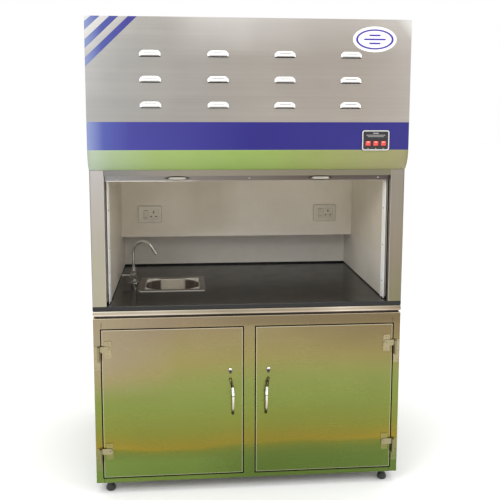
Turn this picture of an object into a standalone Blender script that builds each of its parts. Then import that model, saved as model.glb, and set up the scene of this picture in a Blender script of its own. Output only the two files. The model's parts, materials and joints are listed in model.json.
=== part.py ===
"""A stainless steel fume hood on a two-door base cabinet, in metres, +Z up.

The origin is on the floor under the middle of the hood. The front faces -Y. Depths named D_* are
measured back from the face of the front posts, and at() turns them into Y.
"""

from math import cos, pi, radians, sin

import bmesh
import bpy
from mathutils import Matrix, Vector

# ---------------------------------------------------------------- driving dimensions
WIDTH = 1.350
DEPTH = 0.980
CANOPY_OUT = 0.045  # how far the canopy stands in front of the posts
LOUVRE_OUT = 0.010
FRONT_Y = -DEPTH / 2 + CANOPY_OUT + LOUVRE_OUT  # Y of the posts' front face
SHEET = 0.0015
BEND = 0.0025  # the outer radius of a fold
GAP = 0.0003  # left between faces that touch

Z_CABINET = 0.050
Z_DOOR_LOW = 0.0745
Z_DOOR_HIGH = 0.7435
Z_CABINET_TOP = 0.795
Z_SUPPORT = 0.8035
Z_SUPPORT_TOP = 0.827
Z_WORKTOP = 0.8275
Z_WORK = 0.8465  # the working surface
UPSTAND = 0.006
Z_SASH_LOW = 1.386
Z_LINTEL = 1.4075
Z_CANOPY = 1.430  # the canopy's lower edge
Z_CURVE = 1.519  # where its front starts to curve back
Z_TOP = 2.060

D_BACK = DEPTH / 2 - FRONT_Y
D_SASH = 0.037  # centre of the sash
D_LINER = 0.056
D_BAFFLE = 0.685
D_REAR_LINER = 0.860

HALF = WIDTH / 2
POST_WIDTH = 0.0585
POST_DEPTH = 0.022
LINER = 0.010
LINER_IN = 0.604  # half of the clear width between the side liners
DOOR_IN = 0.029  # half of the middle stile
DOOR_OUT = 0.641
DOOR_DEPTH = 0.020
DOOR_CLEAR = 0.004
HINGE_X = 0.653
HINGE_D = -0.0095
HINGE_Z = (0.660, 0.199)
LOCK_X, LOCK_Z = 0.084, 0.553
FOOT_X, FOOT_R = 0.6175, 0.022
FOOT_D = (0.040, 0.880)

SASH_HALF = 0.652
SASH_DEPTH = 0.018
SASH_HEIGHT = 0.570
STILE_IN = 0.6143

SINK = (-0.340, 0.405)
SINK_RIM = (0.310, 0.295)
SINK_BOWL = (0.256, 0.232)
SINK_CORNER = 0.078
SINK_DEPTH = 0.150
DRAIN_Z = 0.580
TAP = (-0.530, 0.455)
TAP_TURN = radians(-24)

FAN_D = 0.660
FAN_R = 0.100
PULLEY_X, PULLEY_R, PULLEY_Z = 0.643, 0.040, 2.008
WEIGHT_LOW, WEIGHT_HEIGHT = 0.900, 0.420

LOUVRE_X = (-0.4135, -0.136, 0.1415, 0.420)
LOUVRE_Z = (1.9145, 1.8105, 1.7065)
LOUVRE_WIDTH, LOUVRE_HEIGHT = 0.089, 0.023
LOUVRE_CORNER = 0.013

PANEL_X, PANEL_Z = 0.531, 1.5585
PANEL_WIDTH, PANEL_HEIGHT = 0.117, 0.085
ROCKER_X = (0.4985, 0.5315, 0.5645)
ROCKER_Z = 1.546

SOCKET_X, SOCKET_Z = 0.457, 1.152
SOCKET_WIDTH, SOCKET_HEIGHT = 0.120, 0.088


def at(depth):
    """Y of a depth behind the posts' front face."""
    return FRONT_Y + depth


# ---------------------------------------------------------------- materials and objects
def paint(name, colour, roughness, metallic=0.0, alpha=1.0):
    made = bpy.data.materials.new(name)
    made.use_nodes = True
    shader = made.node_tree.nodes["Principled BSDF"]
    shader.inputs["Base Color"].default_value = (*colour, 1)
    shader.inputs["Roughness"].default_value = roughness
    shader.inputs["Metallic"].default_value = metallic
    shader.inputs["Alpha"].default_value = alpha
    return made


def clear_scene():
    for old in list(bpy.data.objects):
        bpy.data.objects.remove(old)


def put(name, shape, material, origin=(0, 0, 0), smooth=None):
    """One named object from a bmesh in the hood's frame, with its own origin moved to a joint's axis."""
    bmesh.ops.recalc_face_normals(shape, faces=shape.faces)
    mesh = bpy.data.meshes.new(name)
    shape.to_mesh(mesh)
    shape.free()
    mesh.transform(Matrix.Translation(-Vector(origin)))
    mesh.materials.append(material)
    if smooth is not None:
        mesh.shade_smooth()
        mesh.set_sharp_from_angle(angle=radians(smooth))
    made = bpy.data.objects.new(name, mesh)
    made.location = origin
    bpy.context.scene.collection.objects.link(made)
    return made


def helper(name, shape):
    """A cutter or an added shape, which isn't a node."""
    made = put(name, shape, bpy.data.materials["steel"])
    made.hide_render = True
    made.display_type = "WIRE"
    return made


def boolean(target, other, operation):
    step = target.modifiers.new(f"{operation.lower()} {other.name}", "BOOLEAN")
    step.operation = operation
    step.object = other
    step.solver = "EXACT"


def cut(target, name, shape):
    boolean(target, helper(name, shape), "DIFFERENCE")


def add(target, name, shape):
    boolean(target, helper(name, shape), "UNION")


def round_edges(target, width, segments=1):
    step = target.modifiers.new("rounded edges", "BEVEL")
    step.width = width
    step.segments = segments
    step.limit_method = "ANGLE"
    step.angle_limit = radians(50)


def thicken(target, bend=0.0):
    """Makes a sheet's surface solid, growing it inwards, with its folds rounded first."""
    if bend:
        round_edges(target, bend, 2)
    step = target.modifiers.new("thickness", "SOLIDIFY")
    step.thickness = SHEET
    step.offset = -1
    step.use_even_offset = True
    step.use_quality_normals = True


# ---------------------------------------------------------------- shapes
def join(*shapes):
    """One bmesh that holds several, which don't touch or which a Boolean joins."""
    whole = bmesh.new()
    for shape in shapes:
        mesh = bpy.data.meshes.new("joined")
        bmesh.ops.recalc_face_normals(shape, faces=shape.faces)
        shape.to_mesh(mesh)
        shape.free()
        whole.from_mesh(mesh)
        bpy.data.meshes.remove(mesh)
    return whole


def box(low, high):
    shape = bmesh.new()
    low, high = Vector(low), Vector(high)
    size = high - low
    bmesh.ops.create_cube(
        shape, size=1, matrix=Matrix.Translation((low + high) / 2) @ Matrix.Diagonal((*size, 1))
    )
    return shape


def slab(x0, x1, d0, d1, z0, z1):
    """A box given by X, by depth behind the posts' face, and by Z."""
    return box((x0, at(d0), z0), (x1, at(d1), z1))


def placer(axis):
    """Turns a point (u, v) of an outline, at a distance t along the axis across it, into (x, y, z)."""
    return {
        "x": lambda u, v, t: (t, u, v),
        "y": lambda u, v, t: (u, t, v),
        "z": lambda u, v, t: (u, v, t),
    }[axis]


def prism(outline, axis, start, end):
    """A closed outline in the plane across the axis, extruded from start to end."""
    shape = bmesh.new()
    place = placer(axis)
    corners = [shape.verts.new(place(u, v, start)) for u, v in outline]
    face = shape.faces.new(corners)
    grown = bmesh.ops.extrude_face_region(shape, geom=[face])
    moved = [v for v in grown["geom"] if isinstance(v, bmesh.types.BMVert)]
    bmesh.ops.translate(shape, verts=moved, vec=Vector(place(0, 0, end - start)))
    return shape


def open_sheet(line, axis, start, end):
    """A surface swept from an open outline along an axis."""
    shape = bmesh.new()
    place = placer(axis)
    rows = [[shape.verts.new(place(u, v, t)) for u, v in line] for t in (start, end)]
    for i in range(len(line) - 1):
        shape.faces.new((rows[0][i], rows[0][i + 1], rows[1][i + 1], rows[1][i]))
    return shape


def turned(profile, centre, axis="z", segments=16):
    """A profile of (radius, distance along the axis) turned round the axis through centre."""
    shape = bmesh.new()
    rings = []
    for radius, along in profile:
        if radius < 1e-6:
            rings.append([shape.verts.new((0, 0, along))])
            continue
        angles = [2 * pi * k / segments for k in range(segments)]
        rings.append([shape.verts.new((radius * cos(a), radius * sin(a), along)) for a in angles])
    for low, high in zip(rings, rings[1:] + rings[:1]):
        if len(low) == 1 and len(high) == 1:
            continue
        for k in range(segments):
            n = (k + 1) % segments
            if len(low) == 1:
                shape.faces.new((low[0], high[n], high[k]))
            elif len(high) == 1:
                shape.faces.new((low[k], low[n], high[0]))
            else:
                shape.faces.new((low[k], low[n], high[n], high[k]))
    turn = {
        "z": Matrix.Identity(4),
        "x": Matrix.Rotation(radians(90), 4, "Y"),
        "y": Matrix.Rotation(radians(-90), 4, "X"),
    }[axis]
    bmesh.ops.transform(shape, matrix=Matrix.Translation(centre) @ turn, verts=shape.verts)
    return shape


def loft(rings, closed=False):
    """Faces between rings of points. The ends are capped unless the last ring meets the first."""
    shape = bmesh.new()
    made = [[shape.verts.new(p) for p in ring] for ring in rings]
    count = len(made[0])
    for low, high in zip(made, made[1:] + (made[:1] if closed else [])):
        for k in range(count):
            n = (k + 1) % count
            shape.faces.new((low[k], low[n], high[n], high[k]))
    if not closed:
        shape.faces.new(made[0])
        shape.faces.new(made[-1])
    return shape


def rounded_rectangle(centre, size, radius, steps=4):
    """Points round a rectangle with round corners, in (u, v)."""
    points = []
    for k, (sx, sy) in enumerate(((1, 1), (-1, 1), (-1, -1), (1, -1))):
        cx = centre[0] + sx * (size[0] / 2 - radius)
        cy = centre[1] + sy * (size[1] / 2 - radius)
        for i in range(steps + 1):
            angle = (k + i / steps) * pi / 2
            points.append((cx + radius * cos(angle), cy + radius * sin(angle)))
    return points


def tube(path, radii, sides=8, side=Vector((0, 1, 0))):
    """A bar along a path that stays in a plane, whose normal is side. Radii are (in the plane, across it)."""
    rings = []
    path = [Vector(p) for p in path]
    for i, point in enumerate(path):
        along = (path[min(i + 1, len(path) - 1)] - path[max(i - 1, 0)]).normalized()
        out = side.cross(along).normalized()
        r_in, r_across = radii[i] if isinstance(radii, list) else radii
        angles = [2 * pi * k / sides for k in range(sides)]
        rings.append([point + out * r_in * cos(a) + side * r_across * sin(a) for a in angles])
    return loft(rings)


def mirrored(shape):
    """The same shape on the other side of the hood."""
    bmesh.ops.transform(shape, matrix=Matrix.Scale(-1, 4, (1, 0, 0)), verts=shape.verts)
    bmesh.ops.reverse_faces(shape, faces=shape.faces)
    return shape


# ---------------------------------------------------------------- base cabinet
def cabinet():
    """The welded shell: two sides, the floor and the back, with the front and the top open."""
    shape = bmesh.new()
    front, back = at(DOOR_DEPTH + GAP), at(D_BACK)
    low, high = Z_CABINET, Z_CABINET_TOP
    corner = {
        (x, y, z): shape.verts.new((x, y, z))
        for x in (-HALF, HALF)
        for y in (front, back)
        for z in (low, high)
    }
    for x in (-HALF, HALF):
        shape.faces.new(
            [corner[p] for p in ((x, front, low), (x, back, low), (x, back, high), (x, front, high))]
        )
    for y, z in ((None, low), (back, None)):
        line = [(front, low), (back, low)] if y is None else [(back, low), (back, high)]
        shape.faces.new(
            [corner[p] for p in ((-HALF, *line[0]), (HALF, *line[0]), (HALF, *line[1]), (-HALF, *line[1]))]
        )
    shell = put("cabinet_shell", shape, STEEL)
    thicken(shell, BEND)
    holes = [
        turned([(0, -0.02), (0.0056, -0.02), (0.0056, 0.02), (0, 0.02)], (x, at(d), Z_CABINET), segments=12)
        for x in (-FOOT_X, FOOT_X)
        for d in FOOT_D
    ]
    cut(shell, "foot_stud_holes", join(*holes))
    drain = turned(
        [(0, -0.02), (0.0185, -0.02), (0.0185, 0.02), (0, 0.02)], (SINK[0], at(D_BACK), DRAIN_Z), "y", 16,
    )
    cut(shell, "drain_pipe_hole", drain)


def face_frame():
    """A folded sheet frame round the two door openings, with returns as deep as the doors."""
    gap = DOOR_CLEAR
    xs = (-HALF, -DOOR_OUT - gap, -DOOR_IN + gap, DOOR_IN - gap, DOOR_OUT + gap, HALF)
    zs = (Z_CABINET, Z_DOOR_LOW - gap, Z_DOOR_HIGH + gap, Z_CABINET_TOP)
    frame = put("cabinet_face_frame", pan(xs, zs, {(1, 1), (3, 1)}, 0, DOOR_DEPTH), STEEL)
    thicken(frame, BEND)


def pan(xs, zs, holes, front, depth):
    """A sheet in the XZ plane in cells, less those in holes, with all its free edges folded back."""
    shape = bmesh.new()
    grid = [[shape.verts.new((x, at(front), z)) for z in zs] for x in xs]
    for i in range(len(xs) - 1):
        for k in range(len(zs) - 1):
            if (i, k) not in holes:
                shape.faces.new((grid[i][k], grid[i + 1][k], grid[i + 1][k + 1], grid[i][k + 1]))
    rim = [e for e in shape.edges if e.is_boundary]
    grown = bmesh.ops.extrude_edge_only(shape, edges=rim)
    moved = [v for v in grown["geom"] if isinstance(v, bmesh.types.BMVert)]
    bmesh.ops.translate(shape, verts=moved, vec=Vector((0, depth, 0)))
    return shape


def door(side, sign):
    """A folded pan, with a hole for the lock. It turns on the hinge's axis."""
    x_low, x_high = sorted((sign * DOOR_IN, sign * DOOR_OUT))
    shape = pan((x_low, x_high), (Z_DOOR_LOW, Z_DOOR_HIGH), set(), 0, DOOR_DEPTH)
    made = put(f"{side}_door", shape, STEEL, hinge_axis(sign))
    thicken(made, BEND)
    hole = turned(
        [(0, -0.02), (0.0085, -0.02), (0.0085, 0.01), (0, 0.01)], (sign * LOCK_X, at(0), LOCK_Z), "y", 12,
    )
    cut(made, f"{side}_lock_hole", hole)


def hinge_axis(sign):
    return (sign * HINGE_X, at(HINGE_D), 0)


def frame_leaf(z):
    """The stile's half of a lift-off hinge: a plate, and a barrel with a pin on top."""
    plate = slab(0.6458, 0.671, -0.0023, -GAP, z - 0.093, z + 0.012)
    barrel = turned(
        [(0, -0.055), (0.0055, -0.055), (0.0055, -0.0105), (0.003, -0.0105), (0.003, 0.009), (0, 0.009)],
        (HINGE_X, at(HINGE_D), z),
        segments=12,
    )
    web = slab(HINGE_X - 0.003, HINGE_X + 0.003, HINGE_D + 0.002, -0.001, z - 0.055, z - 0.011)
    return plate, barrel, web


def door_leaf(z):
    """The door's half: a backing plate and a strap with a round end, which ends in an eye on the pin."""
    plate = slab(0.5985, 0.628, -0.0030, -GAP, z - 0.040, z + 0.035)
    half, tall, reach = 0.010, 0.0132, 0.6140
    end = [
        (reach + tall * cos(a), z - 0.0013 + tall * sin(a))
        for a in (radians(90 + 22.5 * k) for k in range(9))
    ]
    strap = prism(
        [(HINGE_X - 0.004, z + half), (HINGE_X - 0.007, z + 0.0119), *end, (HINGE_X - 0.009, z - 0.0145),
         (HINGE_X - 0.009, z - half), (HINGE_X - 0.004, z - half)],
        "y",
        at(-0.0065),
        at(-0.0028),
    )
    eye = turned(
        [(0.0033, -half), (0.0065, -half), (0.0065, half), (0.0033, half)],
        (HINGE_X, at(HINGE_D), z),
        segments=16,
    )
    return plate, strap, eye


def hinges(side, sign):
    for level, z in zip(("upper", "lower"), HINGE_Z):
        for name, parts in (
            (f"{side}_{level}_frame_hinge_leaf", frame_leaf(z)),
            (f"{side}_{level}_door_hinge_leaf", door_leaf(z)),
        ):
            main, *others = [mirrored(p) if sign < 0 else p for p in parts]
            leaf = put(name, main, CHROME, hinge_axis(sign))
            for k, other in enumerate(others):
                add(leaf, f"{name}_part_{k}", other)


def lock(side, sign):
    """A cam lock. Its cam hangs down at rest, clear of the frame, and turns behind the middle stile."""
    centre = (sign * LOCK_X, at(0), LOCK_Z)
    barrel = turned(
        [
            (0, -0.0085), (0.006, -0.0085), (0.0085, -0.0072), (0.0098, -0.0045), (0.0102, -GAP),
            (0.008, -GAP), (0.008, 0.0245), (0, 0.0245),
        ],
        centre,
        "y",
        16,
    )
    plug = put(f"{side}_door_lock", barrel, CHROME, centre, 40)
    cam = slab(sign * LOCK_X - 0.006, sign * LOCK_X + 0.006, 0.0206, 0.0226, LOCK_Z - 0.066, LOCK_Z + 0.006)
    add(plug, f"{side}_lock_cam", cam)


def door_handle(side, sign):
    """A bow pull. Its upper end sweeps out to its foot, away from the middle stile."""
    z_high, z_low = 0.508, 0.354
    steps = 14
    path, radii = [], []
    for i in range(steps + 1):
        t = i / steps
        rise = sin(pi * t) ** 0.7
        sweep = 0.0105 * max(0.0, 1 - t / 0.35) ** 1.5
        path.append((sign * (0.0735 + sweep), at(-0.0065 - 0.026 * rise), z_high + (z_low - z_high) * t))
        thick = 0.0042 + 0.0014 * sin(pi * t)
        radii.append((thick, thick * 1.1))
    bow = put(f"{side}_door_handle", tube(path, radii, 8, Vector((1, 0, 0))), CHROME, hinge_axis(sign), 50)
    feet = [
        turned([(0, -0.008), (0.006, -0.008), (0.0075, -GAP), (0, -GAP)], (p[0], at(0), p[2]), "y", 12)
        for p in (path[0], path[-1])
    ]
    add(bow, f"{side}_handle_feet", join(*feet))


def feet():
    """Domed levelling feet, each with a lock nut under the floor and a stud through it."""
    profile = [
        (0, 0), (0.0165, 0), (0.0205, 0.004), (FOOT_R, 0.013), (0.018, 0.024), (0.0125, 0.031),
        (0.0125, 0.0365), (0.0095, 0.0368), (0.0095, Z_CABINET - GAP), (0.005, Z_CABINET - GAP),
        (0.005, 0.078), (0, 0.078),
    ]
    for end, depth in zip(("front", "rear"), FOOT_D):
        for side, sign in (("left", -1), ("right", 1)):
            centre = (sign * FOOT_X, at(depth), 0)
            put(f"{end}_{side}_foot", turned(profile, centre), RUBBER, centre, 35)


# ---------------------------------------------------------------- worktop, sink and tap
def support_frame():
    """The steel frame under the slab. Its lower edge is set back, which leaves a shadow line below it."""
    nosing = [(0.005, 0), (0.0015, 0.0015), (0, 0.005)]
    profile = [
        (0.008, Z_CABINET_TOP + GAP), (0.008, Z_SUPPORT), *[(inset, Z_SUPPORT + up) for inset, up in nosing],
        *[(inset, Z_SUPPORT_TOP - up) for inset, up in reversed(nosing)],
        (0.038, Z_SUPPORT_TOP), (0.038, Z_CABINET_TOP + GAP),
    ]
    rings = []
    for sx, front in ((-1, True), (1, True), (1, False), (-1, False)):
        rings.append([
            (sx * (HALF - inset), at(inset) if front else at(D_BACK - inset), z) for inset, z in profile
        ])
    put("worktop_support_frame", loft(rings, closed=True), STEEL)


def worktop():
    """The stone slab with its upstand under the liners, cut for the sink and the tap."""
    made = put("worktop", slab(-HALF, HALF, 0, D_BACK, Z_WORKTOP, Z_WORK), STONE)
    round_edges(made, 0.0015)
    outer, inner = LINER_IN + 0.012, LINER_IN
    back_in, back_out = D_REAR_LINER, D_REAR_LINER + 0.012
    outline = [
        (-outer, at(D_LINER)), (-inner, at(D_LINER)), (-inner, at(back_in)), (inner, at(back_in)),
        (inner, at(D_LINER)), (outer, at(D_LINER)), (outer, at(back_out)), (-outer, at(back_out)),
    ]
    add(made, "upstand", prism(outline, "z", Z_WORK - 0.002, Z_WORK + UPSTAND))
    centre = (SINK[0], at(SINK[1]))
    hole = rounded_rectangle(centre, (SINK_BOWL[0] + 0.008, SINK_BOWL[1] + 0.008), SINK_CORNER + 0.004)
    cut(made, "sink_cut_out", prism(hole, "z", Z_WORKTOP - 0.01, Z_WORK + 0.01))
    tap_hole = turned(
        [(0, -0.04), (0.0125, -0.04), (0.0125, 0.01), (0, 0.01)], (TAP[0], at(TAP[1]), Z_WORK), segments=16,
    )
    cut(made, "tap_hole", tap_hole)


def sink():
    """The rim, bowl and outlet as one pressed sheet, from the rim's edge to the outlet and back."""
    cx, cy = SINK[0], at(SINK[1])
    wall = 0.0012
    top = Z_WORK + GAP
    floor = Z_WORK - SINK_DEPTH
    bowl_w, bowl_d = SINK_BOWL

    def ring(width, depth, radius, z):
        return [(x, y, z) for x, y in rounded_rectangle((cx, cy), (width, depth), radius)]

    rings = [
        ring(*SINK_RIM, 0.008, top),
        ring(SINK_RIM[0] - 0.001, SINK_RIM[1] - 0.001, 0.008, top + 0.003),
        ring(bowl_w + 0.010, bowl_d + 0.010, SINK_CORNER + 0.005, top + 0.003),
        ring(bowl_w - 0.002, bowl_d - 0.002, SINK_CORNER, top - 0.004),
        ring(bowl_w - 0.010, bowl_d - 0.010, SINK_CORNER - 0.004, floor + 0.016),
        ring(bowl_w - 0.034, bowl_d - 0.034, SINK_CORNER - 0.016, floor + 0.002),
        ring(0.044, 0.044, 0.0219, floor),
        ring(0.044, 0.044, 0.0219, floor - wall),
        ring(bowl_w - 0.034, bowl_d - 0.034, SINK_CORNER - 0.016, floor - wall),
        ring(bowl_w - 0.006, bowl_d - 0.006, SINK_CORNER - 0.002, floor + 0.015),
        ring(bowl_w + 0.001, bowl_d + 0.001, SINK_CORNER + 0.001, top - 0.005),
        ring(bowl_w + 0.004, bowl_d + 0.004, SINK_CORNER + 0.002, top),
    ]
    put("sink_bowl", loft(rings, closed=True), STEEL, smooth=40)


def sink_trap():
    """The waste fitting, the bottle trap and its outlet pipe, which leaves through the cabinet's back."""
    floor = Z_WORK - SINK_DEPTH
    centre = (SINK[0], at(SINK[1]), 0)
    bottle = turned(
        [
            (0, 0.500), (0.028, 0.500), (0.034, 0.508), (0.034, 0.600), (0.024, 0.606), (0.024, 0.640),
            (0.028, 0.640),
            (0.028, 0.660), (0.020, 0.660), (0.020, 0.676), (0.032, 0.676), (0.032, floor - 0.0016),
            (0.0205, floor - 0.0016),
            (0.0205, floor + 0.002), (0.017, floor + 0.002), (0.014, floor - 0.010), (0, floor - 0.010),
        ],
        centre,
    )
    trap = put("sink_trap", bottle, PLASTIC_WHITE, smooth=40)
    length = D_BACK - SINK[1]
    pipe = turned(
        [
            (0, 0.020), (0.016, 0.020), (0.016, length), (0.0135, length), (0.0135, length - 0.05),
            (0, length - 0.05),
        ],
        (SINK[0], at(SINK[1]), DRAIN_Z),
        "y",
        14,
    )
    add(trap, "trap_outlet_pipe", pipe)


def tap():
    """A swan-neck bench tap: a pillar, a spout that swivels on it and a lever on its front."""
    x, y = TAP[0], at(TAP[1])
    pillar = turned(
        [
            (0, -0.088), (0.009, -0.088), (0.009, -0.052), (0.019, -0.052), (0.019, -0.042), (0.009, -0.042),
            (0.009, GAP),
            (0.025, GAP), (0.025, 0.004), (0.017, 0.008), (0.015, 0.020), (0.015, 0.062), (0.012, 0.068),
            (0, 0.068),
        ],
        (x, y, Z_WORK),
    )
    body = put("tap_body", pillar, CHROME, (x, y, Z_WORK), 40)
    boss = turned([(0, -0.024), (0.012, -0.024), (0.012, 0), (0, 0)], (x, y, Z_WORK + 0.044), "y", 12)
    add(body, "tap_lever_boss", boss)

    base, rise, bend = Z_WORK + 0.068 + GAP, 0.1525, 0.055
    route = [(0, base), (0, base + 0.012), (0, Z_WORK + rise)]
    for k in range(1, 11):
        angle = radians(180 - 14.5 * k)
        route.append((bend + bend * cos(angle), Z_WORK + rise + bend * sin(angle)))
    end = route[-1]
    lean = radians(35)
    for reach in (0.012, 0.0125, 0.045):
        route.append((end[0] + reach * sin(lean), end[1] - reach * cos(lean)))
    thick = [0.0105, 0.0074, *(0.0070 + 0.0001 * k for k in range(11)), 0.0080, 0.0094, 0.0096]
    radii = [(r, r) for r in thick]
    along = Vector((cos(TAP_TURN), sin(TAP_TURN), 0))
    path = [Vector((x, y, 0)) + along * u + Vector((0, 0, z)) for u, z in route]
    across = along.cross(Vector((0, 0, 1)))
    put("tap_spout", tube(path, radii, 10, across), CHROME, (x, y, base), 40)

    z = Z_WORK + 0.044
    hub = turned(
        [(0, -0.040), (0.011, -0.040), (0.014, -0.037), (0.014, -0.0243), (0, -0.0243)], (x, y, z), "y", 14,
    )
    lever = put("tap_lever", hub, CHROME, (x, y - 0.024, z), 40)
    arm = tube(
        [(x, y - 0.032, z), (x - 0.030, y - 0.032, z), (x - 0.054, y - 0.032, z + 0.001)],
        [(0.0045, 0.0045), (0.0035, 0.004), (0.004, 0.005)],
        8,
    )
    add(lever, "tap_lever_arm", arm)


# ---------------------------------------------------------------- superstructure
def side_profile(inset):
    """The outer side in (Y, Z): straight above the worktop, with the canopy's curved nose."""
    front = -CANOPY_OUT + inset
    return [
        (at(0), Z_WORK + GAP), *[(y, z) for y, z in reversed(nose(inset))], (at(front), Z_TOP),
        (at(D_BACK - 2 * SHEET), Z_TOP), (at(D_BACK - 2 * SHEET), Z_WORK + GAP),
    ]


def nose(inset=0.0, steps=8):
    """The canopy's lower front in (Y, Z), from its straight face round to its lower edge."""
    radius = 0.110 - inset
    sweep = radians(52.3)
    centre = (at(-CANOPY_OUT + 0.110), Z_CURVE)
    return [
        (centre[0] - radius * cos(sweep * k / steps), centre[1] - radius * sin(sweep * k / steps))
        for k in range(steps + 1)
    ]


def outer_side(side, sign):
    """A side sheet, with the stud of the sash pulley and the strip that guides the back of the sash."""
    start, end = sorted((sign * (HALF - SHEET), sign * HALF))
    made = put(f"{side}_outer_side", prism(side_profile(SHEET + GAP), "x", start, end), STEEL)
    pin_end = PULLEY_X - 0.012
    inner, outer = sorted((sign * pin_end, sign * (HALF - SHEET / 2)))
    stud = turned(
        [(0, inner), (0.006, inner), (0.006, outer), (0, outer)],
        (0, at(D_SASH + PULLEY_R), PULLEY_Z),
        "x",
        12,
    )
    add(made, f"{side}_pulley_stud", stud)
    start, end = sorted((sign * 0.640, sign * (HALF - SHEET / 2)))
    add(made, f"{side}_sash_guide", slab(start, end, 0.0480, 0.0495, Z_WORK + 0.006, 1.945))


def post(side, sign):
    """A square-section upright, open at both ends."""
    inner, outer = HALF - SHEET - GAP - POST_WIDTH, HALF - SHEET - GAP
    corners = [
        (inner, at(0)), (outer, at(0)), (outer, at(POST_DEPTH)), (inner, at(POST_DEPTH)), (inner, at(0)),
    ]
    shape = open_sheet([(sign * x, y) for x, y in corners], "z", Z_WORK + GAP, Z_TOP - SHEET - 2 * GAP)
    bmesh.ops.remove_doubles(shape, verts=shape.verts, dist=0.0001)
    thicken(put(f"{side}_front_post", shape, STEEL), BEND)


def rear_panel():
    """The hood's outer back, over the worktop."""
    put("rear_panel", slab(-HALF, HALF, D_BACK - SHEET - GAP, D_BACK, Z_WORK + GAP, Z_TOP), STEEL)


def liners():
    low, high = Z_WORK + UPSTAND + GAP, Z_CANOPY
    for side, sign in (("left", -1), ("right", 1)):
        outline = [
            (LINER_IN, D_REAR_LINER - GAP), (LINER_IN, D_LINER + 0.030), (LINER_IN + 0.016, D_LINER),
            (LINER_IN + 0.026, D_LINER), (LINER_IN + LINER, D_LINER + 0.032),
            (LINER_IN + LINER, D_REAR_LINER - GAP),
        ]
        put(f"{side}_liner", prism([(sign * x, at(d)) for x, d in outline], "z", low, high), WHITE_BOARD)
    wide = LINER_IN + LINER
    put("rear_liner", slab(-wide, wide, D_REAR_LINER, D_REAR_LINER + LINER, low, high), WHITE_BOARD)

    ceiling = put(
        "ceiling_liner",
        slab(-wide, wide, D_LINER, D_REAR_LINER + LINER, high + GAP, high + 0.0063),
        WHITE_BOARD,
    )
    fan_hole = turned(
        [(0, -0.02), (FAN_R, -0.02), (FAN_R, 0.02), (0, 0.02)], (0, at(FAN_D), high), segments=24,
    )
    cut(ceiling, "fan_hole", fan_hole)
    cut(ceiling, "lamp_hole", slab(-0.302, 0.302, 0.213, 0.297, high - 0.01, high + 0.02))

    baffle = put(
        "rear_baffle",
        slab(-LINER_IN + GAP, LINER_IN - GAP, D_BAFFLE, D_BAFFLE + 0.006, 1.034, 1.398),
        WHITE_BOARD,
    )
    posts = [
        slab(x - 0.01, x + 0.01, D_BAFFLE + 0.003, D_REAR_LINER - GAP, z - 0.01, z + 0.01)
        for x in (-0.56, 0.56)
        for z in (1.09, 1.35)
    ]
    add(baffle, "baffle_stand_offs", join(*posts))
    boxes = [
        slab(x - 0.0505, x + 0.0505, D_BAFFLE - 0.01, D_BAFFLE + 0.02, SOCKET_Z - 0.0345, SOCKET_Z + 0.0345)
        for x in (-SOCKET_X, SOCKET_X)
    ]
    cut(baffle, "socket_box_holes", join(*boxes))


def lamp():
    """A recessed lamp: a diffuser flush with the ceiling, a tray above it and a flange that rests on it."""
    low = Z_CANOPY + GAP
    tray = put("chamber_lamp", slab(-0.300, 0.300, 0.215, 0.295, low, low + 0.045), LAMP)
    add(tray, "lamp_flange", slab(-0.312, 0.312, 0.203, 0.307, low + 0.0065, low + 0.0085))


def sockets():
    """A switched socket on each side of the baffle: a plate with its box behind, and a rocker."""
    for side, sign in (("left", -1), ("right", 1)):
        x = sign * SOCKET_X
        outline = rounded_rectangle((x, SOCKET_Z), (SOCKET_WIDTH, SOCKET_HEIGHT), 0.006, 2)
        plate = put(
            f"{side}_socket_plate",
            prism(outline, "y", at(D_BAFFLE - 0.0085), at(D_BAFFLE - GAP)),
            WHITE_PLASTIC,
        )
        add(
            plate,
            f"{side}_socket_box",
            slab(
                x - 0.050, x + 0.050, D_BAFFLE - 0.004, D_BAFFLE + 0.045, SOCKET_Z - 0.034, SOCKET_Z + 0.034,
            ),
        )
        hole = slab(
            x - 0.0325, x - 0.0105, D_BAFFLE - 0.02, D_BAFFLE + 0.006, SOCKET_Z - 0.0235, SOCKET_Z + 0.0235,
        )
        cut(plate, f"{side}_socket_switch_hole", hole)
        pivot = (x - 0.0215, at(D_BAFFLE - 0.006), SOCKET_Z)
        rocker(f"{side}_socket_switch", pivot, 0.0205, 0.0225, 0.0045, WHITE_PLASTIC, radians(4))


def rocker(name, pivot, width, half, proud, material, tilt):
    """A rocker that lies inside a circle of its half height round its pivot, and is tilted at rest."""
    x, y, z = pivot
    edge = radians(14)
    outline = [
        (-half * sin(edge), half * cos(edge)), (-proud * 0.55, 0), (-half * sin(edge), -half * cos(edge)),
    ]
    outline += [(half * sin(a), -half * cos(a)) for a in (radians(6), radians(12))]
    outline += [(0.009, -half * 0.6), (0.009, half * 0.6)]
    outline += [(half * sin(a), half * cos(a)) for a in (radians(12), radians(6))]
    turned_outline = [
        (y + u * cos(tilt) - v * sin(tilt), z + u * sin(tilt) + v * cos(tilt)) for u, v in outline
    ]
    put(name, prism(turned_outline, "x", x - width / 2, x + width / 2), material, pivot)


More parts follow.
